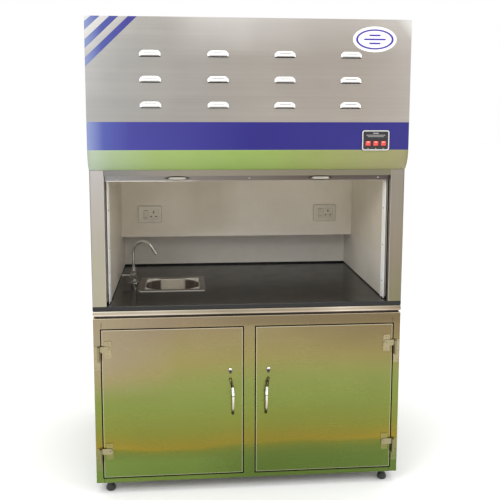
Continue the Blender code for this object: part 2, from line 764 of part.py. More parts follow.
# ---------------------------------------------------------------- sash
def sash():
    """The sliding sash, parked at the top: glass in a frame, with a bottom rail and two pulls."""
    front, back = D_SASH - SASH_DEPTH / 2, D_SASH + SASH_DEPTH / 2
    low, high = Z_SASH_LOW, Z_SASH_LOW + SASH_HEIGHT
    rail = 0.021
    bottom = slab(-STILE_IN + GAP, STILE_IN - GAP, front - 0.003, back, low, low + rail)
    round_edges(put("sash_bottom_rail", bottom, SASH_METAL), 0.001)
    outline = [
        (-SASH_HALF, low), (-STILE_IN, low), (-STILE_IN, high - 0.025), (STILE_IN, high - 0.025),
        (STILE_IN, low), (SASH_HALF, low), (SASH_HALF, high), (-SASH_HALF, high),
    ]
    put("sash_frame", prism(outline, "y", at(front), at(back)), SASH_METAL)
    put(
        "sash_glass",
        slab(
            -STILE_IN + GAP, STILE_IN - GAP, D_SASH - 0.003, D_SASH + 0.003, low + rail + GAP,
            high - 0.025 - GAP,
        ),
        GLASS,
    )
    for side, sign in (("left", -1), ("right", 1)):
        sash_pull(f"{side}_sash_pull", sign * 0.308, front - 0.003, low + rail / 2)


def sash_pull(name, x, depth, z):
    """A bowed finger pull, pointed at both ends and widest in the middle."""
    rings = []
    half = 0.046
    for k in range(13):
        t = -1 + k / 6
        bow = 1 - t * t
        y = at(depth - 0.0022 - 0.0145 * bow ** 0.5)
        tall = 0.0020 + 0.0060 * bow
        rings.append([(x + half * t, y - 0.0012, z - tall * 0.75), (x + half * t, y + 0.0017, z - tall),
                      (x + half * t, y + 0.0017, z + tall), (x + half * t, y - 0.0012, z + tall * 0.75)])
    made = put(name, loft(rings), CHROME, (x, at(depth), z), 50)
    pads = [
        slab(x + s * half - 0.004, x + s * half + 0.004, depth - 0.0036, depth - GAP, z - 0.0022, z + 0.0022)
        for s in (-1, 1)
    ]
    add(made, f"{name}_feet", join(*pads))


def balance(side, sign):
    """The sash's pulley and its counterweight, in the column behind the post."""
    axis = (sign * PULLEY_X, at(D_SASH + PULLEY_R), PULLEY_Z)
    wheel = [
        (0.0063, -0.007), (PULLEY_R + 0.003, -0.007), (PULLEY_R + 0.003, -0.0045), (PULLEY_R - 0.002, -0.001),
        (PULLEY_R - 0.002, 0.001), (PULLEY_R + 0.003, 0.0045), (PULLEY_R + 0.003, 0.007), (0.0063, 0.007),
    ]
    put(f"{side}_sash_pulley", turned(wheel, axis, "x", 24), PLASTIC_WHITE, axis, 40)
    x0, x1 = sorted((sign * (PULLEY_X - 0.022), sign * (PULLEY_X + 0.022)))
    depth = D_SASH + 2 * PULLEY_R
    shape = slab(x0, x1, depth - 0.028, depth + 0.028, WEIGHT_LOW, WEIGHT_LOW + WEIGHT_HEIGHT)
    put(f"{side}_counterweight", shape, IRON, (sign * PULLEY_X, at(depth), WEIGHT_LOW))


# ---------------------------------------------------------------- canopy
def canopy_front():
    """The louvred front: a straight face that curves back at the bottom, with a lintel between the posts."""
    line = [(at(-CANOPY_OUT), Z_TOP), *nose()]
    front = put("canopy_front", open_sheet(line, "x", -HALF, HALF), STEEL)
    thicken(front)
    lintel = slab(-STILE_IN, STILE_IN, -0.0030, 0.012, Z_LINTEL, 1.4335)
    add(front, "lintel", lintel)
    centres = [(x, z) for x in LOUVRE_X for z in LOUVRE_Z]
    add(front, "louvre_hoods", join(*[louvre(x, z, 0.0) for x, z in centres]))
    cut(front, "louvre_mouths", join(*[louvre(x, z, 0.0012) for x, z in centres]))
    cut(
        front,
        "switch_hole",
        slab(PANEL_X - 0.050, PANEL_X + 0.050, -0.06, -0.03, ROCKER_Z - 0.017, ROCKER_Z + 0.017),
    )


def louvre(x, z, wall):
    """A pressed hood, open below. With a wall, it is the space inside it, and cuts the sheet behind too."""
    rings = []
    steps = 7
    back = at(-CANOPY_OUT) + (0.004 if wall else 0.0008)
    top, foot = z + LOUVRE_HEIGHT / 2, z - LOUVRE_HEIGHT / 2
    for k in range(steps + 1):
        t = k / steps
        height = top - wall * 1.6 - (top - foot - wall * 1.6 + (0.004 if wall else 0)) * t
        out = (LOUVRE_OUT - wall) * sin(min(1.0, t + (0.02 if wall else 0.06)) * pi / 2)
        half = LOUVRE_WIDTH / 2 - wall - LOUVRE_CORNER * (1 - sin(min(1.0, t / 0.6) * pi / 2))
        arc = [
            (x + half * cos(a), at(-CANOPY_OUT) - out * (sin(a) ** 0.45), height)
            for a in (pi * i / 10 for i in range(1, 10))
        ]
        rings.append([(x + half, back, height), *arc, (x - half, back, height)])
    return loft(rings)


def canopy_top():
    """The top sheet, with the flanged collar that an exhaust duct fits on."""
    low = Z_TOP - SHEET
    edge = HALF - SHEET - GAP
    top = put(
        "canopy_top",
        slab(-edge, edge, -CANOPY_OUT + SHEET + GAP, D_BACK - 2 * SHEET - GAP, low, Z_TOP),
        STEEL,
    )
    cut(
        top,
        "duct_hole",
        turned(
            [(0, -0.02), (FAN_R - 0.001, -0.02), (FAN_R - 0.001, 0.02), (0, 0.02)],
            (0, at(FAN_D), Z_TOP),
            segments=24,
        ),
    )
    collar = turned(
        [
            (FAN_R - 0.002, 0), (FAN_R + 0.020, 0), (FAN_R + 0.020, 0.002), (FAN_R, 0.002), (FAN_R, 0.048),
            (FAN_R + 0.020, 0.048), (FAN_R + 0.020, 0.050), (FAN_R - 0.002, 0.050),
        ],
        (0, at(FAN_D), Z_TOP - 0.0005),
        segments=24,
    )
    add(top, "duct_collar", collar)


def fan():
    """An in-line exhaust fan between the ceiling and the collar: its tube, motor and impeller."""
    centre = (0, at(FAN_D), 0)
    low, high = Z_CANOPY + 0.0066, Z_TOP - SHEET - GAP
    shell = turned(
        [
            (FAN_R - 0.002, low), (FAN_R + 0.018, low), (FAN_R + 0.018, low + 0.002), (FAN_R, low + 0.002),
            (FAN_R, high), (FAN_R - 0.002, high),
        ],
        centre,
        segments=24,
    )
    housing = put("fan_housing", shell, STEEL, smooth=30)
    arms = []
    for k in range(3):
        turn = Matrix.Translation(centre) @ Matrix.Rotation(2 * pi * k / 3 + pi / 2, 4, "Z")
        arm = box((0.0463, -0.002, 1.735), (FAN_R - 0.001, 0.002, 1.765))
        bmesh.ops.transform(arm, matrix=turn, verts=arm.verts)
        arms.append(arm)
    add(housing, "motor_arms", join(*arms))

    motor = turned(
        [
            (0, 1.665), (0.040, 1.665), (0.046, 1.671), (0.046, 1.815), (0.036, 1.825), (0, 1.825),
        ], centre, segments=20
    )
    made = put("fan_motor", motor, IRON, centre, 35)
    cut(
        made,
        "motor_shaft_hole",
        turned([(0, 1.650), (0.0053, 1.650), (0.0053, 1.700), (0, 1.700)], centre, segments=12),
    )

    hub = turned(
        [
            (0, 1.605), (0.030, 1.605), (0.034, 1.610), (0.034, 1.640), (0.005, 1.640), (0.005, 1.695),
            (0, 1.695),
        ],
        centre,
        segments=16,
    )
    impeller = put("fan_impeller", hub, SASH_METAL, centre, 35)
    blades = []
    for k in range(6):
        blade = box((0.030, -0.001, -0.0135), (0.094, 0.001, 0.0135))
        pitch = Matrix.Rotation(radians(50), 4, "X")
        turn = Matrix.Rotation(2 * pi * k / 6, 4, "Z")
        lift = Matrix.Translation((0, at(FAN_D), 1.6225))
        bmesh.ops.transform(blade, matrix=lift @ turn @ pitch, verts=blade.verts)
        blades.append(blade)
    add(impeller, "fan_blades", join(*blades))


def controls():
    """The switch plate on the canopy, with three rockers."""
    face = -CANOPY_OUT - GAP
    outline = rounded_rectangle((PANEL_X, PANEL_Z), (PANEL_WIDTH, PANEL_HEIGHT), 0.007, 3)
    plate = put("control_panel", prism(outline, "y", at(face - 0.003), at(face)), BLACK_PLASTIC)
    holes = [
        slab(x - 0.0112, x + 0.0112, face - 0.01, face + 0.01, ROCKER_Z - 0.0148, ROCKER_Z + 0.0148)
        for x in ROCKER_X
    ]
    cut(plate, "rocker_holes", join(*holes))
    for k, x in enumerate(ROCKER_X):
        pivot = (x, at(face - 0.0005), ROCKER_Z)
        rocker(f"rocker_switch_{k + 1}", pivot, 0.0210, 0.0141, 0.0060, RED, radians(8))


def main():
    cabinet()
    face_frame()
    for side, sign in (("left", -1), ("right", 1)):
        door(side, sign)
        hinges(side, sign)
        lock(side, sign)
        door_handle(side, sign)
        post(side, sign)
        outer_side(side, sign)
        balance(side, sign)
    feet()
    support_frame()
    worktop()
    sink()
    sink_trap()
    tap()
    rear_panel()
    liners()
    lamp()
    sockets()
    sash()
    canopy_front()
    canopy_top()
    fan()
    controls()


clear_scene()
STEEL = paint("steel", (0.60, 0.58, 0.54), 0.32, 1.0)
CHROME = paint("chrome", (0.80, 0.80, 0.80), 0.08, 1.0)
SASH_METAL = paint("sash_aluminium", (0.42, 0.40, 0.38), 0.35, 1.0)
STONE = paint("black_granite", (0.018, 0.018, 0.018), 0.12)
WHITE_BOARD = paint("white_board", (0.68, 0.66, 0.60), 0.45)
WHITE_PLASTIC = paint("white_plastic", (0.66, 0.64, 0.58), 0.35)
PLASTIC_WHITE = paint("pipe_plastic", (0.80, 0.80, 0.78), 0.40)
BLACK_PLASTIC = paint("black_plastic", (0.02, 0.02, 0.02), 0.30)
RED = paint("red_switch", (0.75, 0.06, 0.05), 0.25)
RUBBER = paint("black_rubber", (0.02, 0.022, 0.02), 0.50)
GLASS = paint("glass", (0.85, 0.92, 0.90), 0.02, 0.0, 0.25)
LAMP = paint("lamp_diffuser", (0.90, 0.90, 0.88), 0.50)
IRON = paint("cast_iron", (0.12, 0.12, 0.13), 0.60, 0.6)
main()
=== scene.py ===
"""The look of a steel fume hood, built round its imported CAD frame. Metres throughout, in the frame's axes."""

import json
from math import cos, pi, radians, sin

import bmesh
import bpy
from mathutils import Matrix, Vector


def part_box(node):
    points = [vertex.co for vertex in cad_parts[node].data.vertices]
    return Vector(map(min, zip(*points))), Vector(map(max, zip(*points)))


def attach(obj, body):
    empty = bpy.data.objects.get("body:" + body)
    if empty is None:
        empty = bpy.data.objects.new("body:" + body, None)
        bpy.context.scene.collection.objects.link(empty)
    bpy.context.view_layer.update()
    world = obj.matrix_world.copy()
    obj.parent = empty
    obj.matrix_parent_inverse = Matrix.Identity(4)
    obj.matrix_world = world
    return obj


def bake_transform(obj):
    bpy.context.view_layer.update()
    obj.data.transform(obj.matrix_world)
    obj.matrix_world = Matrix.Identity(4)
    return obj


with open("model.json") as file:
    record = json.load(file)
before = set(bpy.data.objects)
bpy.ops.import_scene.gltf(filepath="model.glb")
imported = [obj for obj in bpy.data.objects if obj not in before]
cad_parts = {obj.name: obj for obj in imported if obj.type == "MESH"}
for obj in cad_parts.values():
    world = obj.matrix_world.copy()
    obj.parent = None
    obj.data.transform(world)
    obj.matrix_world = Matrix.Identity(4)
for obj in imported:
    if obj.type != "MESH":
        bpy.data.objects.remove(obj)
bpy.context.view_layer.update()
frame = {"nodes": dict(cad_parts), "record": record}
NODES = frame["nodes"]

SIDES = (("left", -1), ("right", 1))  # and the sign of X there

# Sizes and places that the finishes and the drawn pieces share.
HALF_WIDE = 0.675
HALF_RAIL = 0.62  # half the sash rail's length
DOOR_MIDDLE, DOOR_HALF = (0.335, 0.409), (0.306, 0.3345)  # the right door's, in X and Z
SINK_CENTRE, FAN_AXIS = (-0.340, -0.030), (0.0, 0.225)  # in X and Y
PULL_MIDDLE = (0.308, 1.3965)  # the right pull's, in X and Z
ROCKER_HEIGHT = 1.546
LOUVRE_COLUMNS = (-0.4136, 0.2778)  # the first one's middle, and the pitch
LOUVRE_ROWS = (1.709, 0.1040)
BAY = (0.6740, -0.4140, 0.4890)  # half width, front and back of the space inside the cabinet sheet
EDGE = 0.0004  # over which one finish gives way to another

# Painted reflection of the room on the doors: heights, and the colour at each.
CABINET_TONES = [
    (0.05, 96, 117, 56), (0.135, 98, 117, 56), (0.172, 104, 118, 56), (0.197, 118, 121, 52),
    (0.213, 146, 129, 50), (0.235, 138, 127, 52), (0.29, 127, 131, 59), (0.40, 126, 137, 69),
    (0.50, 132, 139, 76), (0.60, 146, 136, 84), (0.70, 144, 131, 92), (0.80, 137, 121, 98),
]
OCHRE_LINE = 0.213  # the height of the one tone that fades out towards the middle


# ---------------------------------------------------------------- colours and node graphs
def rgb(red, green, blue):
    """A linear colour from 8-bit sRGB values."""
    linear = [((c / 255 + 0.055) / 1.055) ** 2.4 if c > 10 else c / 255 / 12.92 for c in (red, green, blue)]
    return (*linear, 1.0)


def grey(value):
    return (value, value, value, 1.0)


class Wiring:
    """The nodes that are being wired into a material or a world, and the point that they colour."""

    def __init__(self, owner, place):
        owner.use_nodes = True
        self.tree = owner.node_tree
        self.place = self.add("ShaderNodeTexCoord").outputs[place]
        split = self.add("ShaderNodeSeparateXYZ")
        self.put(split, 0, self.place)
        self.x, self.y, self.z = split.outputs

    def add(self, kind, **settings):
        node = self.tree.nodes.new(kind)
        for key, value in settings.items():
            setattr(node, key, value)
        return node

    def put(self, node, name, value):
        socket = node.inputs[name]
        if isinstance(value, bpy.types.NodeSocket):
            self.tree.links.new(value, socket)
        else:
            socket.default_value = value

    def noise(self, scale, detail, roughness, stretch=None):
        vector = self.place
        if stretch:
            mapping = self.add("ShaderNodeMapping")
            self.put(mapping, "Vector", vector)
            self.put(mapping, "Scale", stretch)
            vector = mapping.outputs[0]
        node = self.add("ShaderNodeTexNoise")
        self.put(node, "Vector", vector)
        self.put(node, "Scale", scale)
        self.put(node, "Detail", detail)
        self.put(node, "Roughness", roughness)
        return node.outputs[0]

    def cells(self, scale):
        node = self.add("ShaderNodeTexVoronoi")
        self.put(node, "Vector", self.place)
        self.put(node, "Scale", scale)
        return node

    def spread(self, value, start, end, low=0.0, high=1.0):
        """The value from start to end, stretched to run from low to high."""
        node = self.add("ShaderNodeMapRange")
        for index, given in enumerate((value, start, end, low, high)):
            self.put(node, index, given)
        return node.outputs[0]

    def math(self, operation, a, b=0.0):
        node = self.add("ShaderNodeMath", operation=operation)
        self.put(node, 0, a)
        self.put(node, 1, b)
        return node.outputs[0]

    def times(self, a, b):
        return self.math("MULTIPLY", a, b)

    def plus(self, a, b):
        return self.math("ADD", a, b)

    def past(self, value, first, pitch):
        """How far the value is past the nearest of a row of middles."""
        turn = self.math("MODULO", self.math("SUBTRACT", value, first - pitch / 2), pitch)
        return self.math("SUBTRACT", turn, pitch / 2)

    def away(self, value, middle=0.0):
        """How far the value is from a middle."""
        return self.math("ABSOLUTE", self.math("SUBTRACT", value, middle))

    def wander(self, low, high, scale, detail=2.0, roughness=0.5):
        """A value that drifts between low and high, as a noise does."""
        return self.spread(self.noise(scale, detail, roughness), 0.3, 0.7, low, high)

    def across(self, half=HALF_WIDE):
        """0 at the hood's left side, or half its width from the middle, to 1 as far to the right."""
        return self.spread(self.x, -half, half)

    def ramp(self, value, stops, tone=rgb):
        """A colour ramp whose stops are a position and what tone makes its colour from."""
        node = self.add("ShaderNodeValToRGB")
        elements = node.color_ramp.elements
        while len(elements) < len(stops):
            elements.new(0.5)
        for element, (position, *tint) in zip(elements, stops):
            element.position = position
            element.color = tone(*tint)
        self.put(node, "Fac", value)
        return node.outputs[0]

    def levels(self, height, tones):
        """A colour ramp whose stops are (height, red, green, blue), from low to high."""
        low, high = tones[0][0], tones[-1][0]
        stops = [((z - low) / (high - low), *tint) for z, *tint in tones]
        return self.ramp(self.spread(height, low, high), stops)

    def mix(self, factor, a, b, mode="MIX"):
        node = self.add("ShaderNodeMix", data_type="RGBA", blend_type=mode)
        self.put(node, 0, factor)
        self.put(node, 6, a)
        self.put(node, 7, b)
        return node.outputs[2]


class Graph(Wiring):
    """A material, wired over the point in the hood's frame at rest."""

    def __init__(self, name):
        self.material = bpy.data.materials.new(name)
        super().__init__(self.material, "Object")
        self.shader = self.tree.nodes["Principled BSDF"]

    def bump(self, height, strength, distance):
        node = self.add("ShaderNodeBump")
        self.put(node, "Height", height)
        self.put(node, "Strength", strength)
        self.put(node, "Distance", distance)
        self.put(self.shader, "Normal", node.outputs[0])

    def done(self, colour, roughness, metallic=0.0, **sockets):
        self.put(self.shader, "Base Color", colour)
        self.put(self.shader, "Roughness", roughness)
        self.put(self.shader, "Metallic", metallic)
        for name, value in sockets.items():
            self.put(self.shader, name.replace("_", " ").title().replace("Ior", "IOR"), value)
        return self.material


def steel(name, colour, roughness, grain):
    """Satin sheet of one colour."""
    g = Graph(name)
    return sheet(g, colour, g.noise(1.6, 3, 0.55), roughness, grain, 0.05)


def sheet(g, colour, cloud, roughness, grain, grained, metallic=1.0):
    """Satin sheet: a fine grain along one axis, soft clouds, and smears where hands have wiped it."""
    stretch = {"x": (1.5, 420, 420), "y": (420, 1.5, 420), "z": (420, 420, 1.5)}[grain]
    lines = g.noise(1.0, 3, 0.6, stretch)
    toned = g.mix(g.spread(cloud, 0.35, 0.7, 0.0, 0.14), colour, rgb(120, 114, 104), "MULTIPLY")
    toned = g.mix(g.spread(lines, 0.3, 0.7, 0.0, grained), toned, rgb(225, 222, 216))
    smears = g.noise(5.0, 4, 0.65, (1, 1, 2.5))
    dull = g.spread(lines, 0.3, 0.7, roughness - 0.010, roughness + 0.015)
    g.bump(lines, 0.004, 0.0002)
    return g.done(toned, g.plus(dull, g.spread(smears, 0.45, 0.75, 0, 0.07)), metallic)


def cabinet_steel():
    """Satin sheet with a painted reflection of a green room: tan above, green in the middle, then an ochre
    line.

    The doors' folded edges and the top edge get painted highlights, the upper right and the top rail get
    painted shade, and the inside of the cabinet is plain.
    """
    g = Graph("cabinet_steel")
    cloud = g.noise(1.6, 3, 0.55)
    side = g.away(g.x)

    # Painted reflection: the tones by height, bent by climb, dip, rise and corner, wobbled by cloud, with the
    # ochre line fading towards the middle.
    climb = g.spread(g.x, -0.65, 0.65, 0.006, -0.012)
    dip = g.spread(g.away(g.x, -0.31), 0.10, 0.28, 0.014, 0)
    rise = g.spread(g.away(g.x, 0.22), 0.06, 0.26, -0.009, 0)
    corner = g.times(g.spread(g.x, -0.30, -0.62, 0, 0.13), g.spread(g.z, 0.42, 0.60))
    wavy = g.plus(g.z, g.plus(climb, g.plus(dip, rise)))
    wavy = g.plus(g.plus(wavy, g.spread(cloud, 0.3, 0.7, -0.012, 0.012)), corner)
    quiet = g.levels(wavy, [tone for tone in CABINET_TONES if tone[0] != OCHRE_LINE])
    colour = g.mix(g.spread(side, 0.04, 0.55, 0.45, 1.0), quiet, g.levels(wavy, CABINET_TONES))
    # Painted reflection: paler tan towards the upper left.
    colour = g.mix(g.times(corner, 6.0), colour, rgb(160, 147, 119))
    # Painted shade over the upper right of the doors.
    shade = g.times(g.spread(g.x, 0.05, 0.62, 0, 0.6), g.spread(g.z, 0.55, 0.72))
    colour = g.mix(shade, colour, rgb(120, 101, 70))
    # Painted reflection: greener low on the left.
    low_left = g.times(g.spread(g.x, 0.0, -0.25, 0, 0.6), g.spread(g.z, 0.19, 0.14))
    colour = g.mix(low_left, colour, rgb(118, 138, 68))
    # Painted shade along the top rail, from the middle to the right.
    top_rail_shade = g.times(g.spread(g.x, -0.3, 0.0, 0, 0.5), g.spread(g.z, 0.745, 0.760))
    colour = g.mix(top_rail_shade, colour, rgb(110, 96, 72))

    half_wide, front, back = BAY
    bay = g.times(g.spread(side, half_wide + EDGE, half_wide), g.spread(g.y, front, front + EDGE))
    bay = g.times(bay, g.spread(g.y, back + EDGE, back))
    across = g.math("SUBTRACT", g.away(side, DOOR_MIDDLE[0]), DOOR_HALF[0])
    above = g.math("SUBTRACT", g.away(g.z, DOOR_MIDDLE[1]), DOOR_HALF[1])
    outside = g.math("MAXIMUM", across, above)
    pan = g.times(g.spread(outside, -0.0020, -0.0030), g.spread(g.y, -0.4341, -0.4337))
    pan = g.times(pan, g.spread(g.y, -0.412, -0.414))
    colour = g.mix(g.math("MAXIMUM", bay, pan), colour, rgb(172, 168, 160))

    # Painted highlight along the doors' folded edges.
    fold = g.times(g.spread(outside, -0.0042, -0.0030, 0, 0.5), g.spread(outside, 0.0005, -0.0005))
    fold = g.times(fold, g.spread(g.y, -0.40, -0.42))
    colour = g.mix(fold, colour, rgb(214, 206, 184))
    # Painted highlight line along the cabinet's top edge.
    colour = g.mix(g.spread(g.z, 0.7915, 0.7935, 0, 0.7), colour, rgb(206, 192, 166))
    return sheet(g, colour, cloud, 0.27, "x", 0.006)


def post_steel():
    """Satin sheet with a painted reflection, lighter on the left post and towards the top, and a painted
    highlight line down each post's inner fold.
    """
    g = Graph("post_steel")
    cloud = g.noise(1.6, 3, 0.55)
    # Painted reflection, lighter towards the top and on the left post than on the right.
    left = g.levels(g.z, [
        (0.85, 167, 161, 140), (1.05, 176, 171, 151), (1.25, 190, 183, 174), (1.43, 200, 195, 191),
    ])
    right = g.levels(g.z, [(0.85, 127, 121, 93), (1.10, 145, 133, 115), (1.43, 157, 149, 136)])
    colour = g.mix(g.spread(g.x, -0.1, 0.1), left, right)
    side = g.away(g.x)
    # Painted highlight down each post's inner fold, and a fainter one along its outer edge.
    fold = g.plus(g.spread(side, 0.6166, 0.6180, 0.8, 0), g.spread(side, 0.6705, 0.6720, 0, 0.5))
    return sheet(g, g.mix(fold, colour, rgb(196, 190, 188)), cloud, 0.30, "z", 0.05)


def strip_steel():
    """Bright sheet with a painted reflection of patches of the room, in bands along its length, and painted
    shade on its recessed lower lip.
    """
    g = Graph("strip_steel")
    patches = g.noise(1.0, 3, 0.6, (5, 2, 60))
    # Painted shade on the recessed lip at the bottom, a painted highlight on the edge above it, then painted
    # reflection bands.
    colour = g.levels(g.z, [
        (0.795, 52, 43, 36), (0.8028, 54, 45, 38), (0.8042, 242, 234, 222), (0.811, 232, 222, 206),
        (0.8145, 190, 180, 162), (0.821, 206, 198, 180), (0.8255, 232, 228, 214),
    ])
    # Painted reflection along the strip's length.
    across = g.ramp(g.across(), [
        (0.0, 236, 234, 230), (0.2, 230, 226, 220), (0.45, 196, 190, 178), (0.7, 214, 204, 194),
        (0.8, 255, 250, 244), (1.0, 186, 172, 160),
    ])
    colour = g.mix(1.0, colour, across, "MULTIPLY")
    # Painted reflection: darker patches of the room.
    colour = g.mix(g.spread(patches, 0.35, 0.65, 0, 0.25), colour, rgb(150, 138, 122), "MULTIPLY")
    return sheet(g, colour, g.noise(2.5, 3, 0.5), 0.20, "x", 0.05)


def hinge_satin():
    """Plates painted in the doors' reflection tones, with a paler strap and painted shade down the barrel in
    front of them.
    """
    g = Graph("hinge_satin")
    # Painted reflection: the doors' tones by height.
    plates = g.levels(g.z, [(0.14, 118, 126, 72), (0.24, 152, 140, 76), (0.60, 162, 150, 116)])
    front = g.spread(g.y, -0.4385, -0.4400)
    colour = g.mix(front, plates, rgb(158, 149, 115))
    side = g.away(g.x)
    # Painted shade down the barrel.
    pin = g.times(front, g.spread(side, 0.6465, 0.6475, 0, 0.45))
    return sheet(g, g.mix(pin, colour, rgb(98, 86, 54)), g.noise(9, 3, 0.5), 0.26, "x", 0.04)


def sink_steel():
    """Polished sheet with a painted reflection: a dull, dark rim with painted highlights along its edges, and a
    bowl with a bright middle and dark sides.
    """
    g = Graph("sink_steel")
    left = g.away(g.x, SINK_CENTRE[0])
    ahead = g.away(g.y, SINK_CENTRE[1])
    # Painted reflection: bright in the bowl's middle, dark up its sides.
    bowl = g.mix(g.spread(left, 0.056, 0.064), rgb(255, 250, 236), rgb(122, 110, 102))
    # Painted reflection: the rim dark and mottled.
    rim = g.mix(g.spread(g.noise(14, 4, 0.6), 0.35, 0.65), rgb(98, 92, 82), rgb(128, 120, 108))
    colour = g.mix(g.spread(g.z, 0.8440, 0.8462), bowl, rim)
    # Painted highlights on the bowl's lip and the rim's outer edge.
    lip = g.times(g.spread(ahead, 0.112, 0.118, 1, 0), g.spread(left, 0.124, 0.131, 1, 0))
    lip = g.times(lip, g.spread(g.z, 0.8380, 0.8440))
    edge = g.math("MAXIMUM", g.spread(left, 0.1515, 0.1535, 0, 0.4), g.spread(ahead, 0.1440, 0.1460, 0, 0.4))
    colour = g.mix(g.math("MAXIMUM", lip, edge), colour, rgb(255, 253, 246))
    return sheet(g, colour, g.noise(9, 3, 0.5), 0.16, "x", 0.05, 0.6)


def rail_aluminium():
    """Anodised extrusion with a painted reflection of the room behind the user: grey on the left and brown on
    the right.
    """
    g = Graph("rail_aluminium")
    across = g.ramp(g.across(HALF_RAIL), [
        (0.0, 158, 158, 158), (0.25, 144, 137, 130), (0.7, 106, 95, 87), (1.0, 92, 81, 78),
    ])
    return sheet(g, across, g.noise(4, 3, 0.5), 0.30, "x", 0.05)


def pull_satin():
    """Satin pulls with a painted highlight along the middle of the grip and painted shade towards its edges and
    ends.
    """
    g = Graph("pull_satin")
    along, up = g.away(g.away(g.x), PULL_MIDDLE[0]), g.away(g.z, PULL_MIDDLE[1])
    # Painted shade towards the grip's edges and ends.
    edge = g.math("MAXIMUM", g.spread(along, 0.030, 0.042), g.spread(up, 0.0042, 0.0062))
    colour = g.mix(edge, rgb(198, 192, 178), rgb(72, 64, 54))
    return sheet(g, colour, g.noise(9, 3, 0.5), 0.30, "x", 0.05)


def plated(g, colour, roughness, metallic):
    """Bright plating over a colour, with water marks that break up its gloss."""
    marks = g.noise(55, 4, 0.6)
    g.bump(g.noise(160, 2, 0.5), 0.02, 0.0003)
    return g.done(colour, g.spread(marks, 0.35, 0.75, roughness, roughness + 0.08), metallic)


def handle_chrome():
    """Plating with a painted reflection: dark at the bow's two ends, and a painted highlight on its grip."""
    g = Graph("handle_chrome")
    colour = g.levels(g.z, [
        (0.372, 66, 70, 40), (0.384, 196, 188, 172), (0.440, 226, 218, 208), (0.4440, 120, 112, 100),
        (0.4475, 255, 255, 255), (0.476, 255, 255, 255), (0.483, 58, 52, 42), (0.502, 48, 42, 34),
        (0.510, 104, 96, 62),
    ])
    # The grip's bulge is less metallic, so that its painted white highlight shows.
    bulge = g.times(g.spread(g.z, 0.445, 0.447), g.spread(g.z, 0.474, 0.478, 1, 0))
    return plated(g, colour, 0.08, g.spread(bulge, 0, 1, 1.0, 0.45))


def lock_chrome():
    g = Graph("lock_chrome")
    # Painted highlight on the lock's top, painted shade below it.
    colour = g.levels(g.z, [(0.545, 64, 58, 66), (0.5525, 96, 88, 96), (0.5550, 250, 248, 246)])
    marks = g.noise(80, 4, 0.6)
    g.bump(marks, 0.02, 0.0002)
    return g.done(colour, g.spread(marks, 0.35, 0.75, 0.12, 0.20), 1.0)


def rail_edge():
    """The sash's lower lip, with a painted highlight on the left, where it faces the light."""
    g = Graph("rail_edge")
    across = g.ramp(g.across(HALF_RAIL), [
        (0.0, 238, 235, 230), (0.28, 232, 226, 218), (0.33, 158, 148, 136), (1.0, 140, 130, 120),
    ])
    g.bump(g.noise(300, 2, 0.5), 0.05, 0.0002)
    return g.done(across, g.wander(0.3, 0.4, 30, 3, 0.5))


def plastic(name, colour, roughness, texture=900, strength=0.06, **sockets):
    """Moulded or cast plastic, with a fine skin and slight colour drift."""
    g = Graph(name)
    drift = g.noise(14, 3, 0.5)
    skin = g.noise(texture, 2, 0.5)
    paler = tuple(min(1.0, c * 1.12 + 0.004) for c in colour[:3]) + (1.0,)
    g.bump(skin, strength, 0.0002)
    rough = g.wander(roughness - 0.04, roughness + 0.06, 30, 4, 0.6)
    return g.done(g.mix(g.spread(drift, 0.3, 0.7), colour, paler), rough, **sockets)


def chrome(name, colour, roughness):
    """Bright plating of one colour, a little duller where water has dried."""
    g = Graph(name)
    marks = g.noise(55, 4, 0.6)
    tone = g.mix(g.spread(marks, 0.4, 0.75, 0, 0.35), colour, rgb(168, 166, 160))
    g.bump(g.noise(160, 2, 0.5), 0.02, 0.0003)
    return g.done(tone, g.spread(marks, 0.35, 0.75, roughness, roughness + 0.10), 1.0)


def tap_chrome():
    """Plating with a painted reflection: grey up the tap's column, and a painted highlight round the bend above
    it.
    """
    g = Graph("tap_chrome")
    colour = g.levels(g.z, [
        (0.85, 150, 146, 140), (1.02, 166, 162, 156), (1.07, 242, 240, 236), (1.12, 252, 251, 248),
    ])
    return plated(g, colour, 0.10, 0.7)


def film(name, stops):
    """Film over sheet: the blue bands are self-adhesive film, and the green band stands for a painted
    reflection of the green room on the canopy's curve. stops run from the left side of the hood to the right.
    """
    g = Graph(name)
    drift = g.spread(g.noise(3, 3, 0.5), 0.35, 0.7, 0, 0.12)
    # The stops are lighter at the hood's left side: a painted reflection.
    toned = g.mix(drift, g.ramp(g.across(), stops), rgb(30, 30, 60), "MULTIPLY")
    g.bump(g.noise(260, 3, 0.6), 0.05, 0.0002)
    return g.done(toned, g.wander(0.29, 0.41, 9, 4, 0.6), specular_ior_level=0.25)


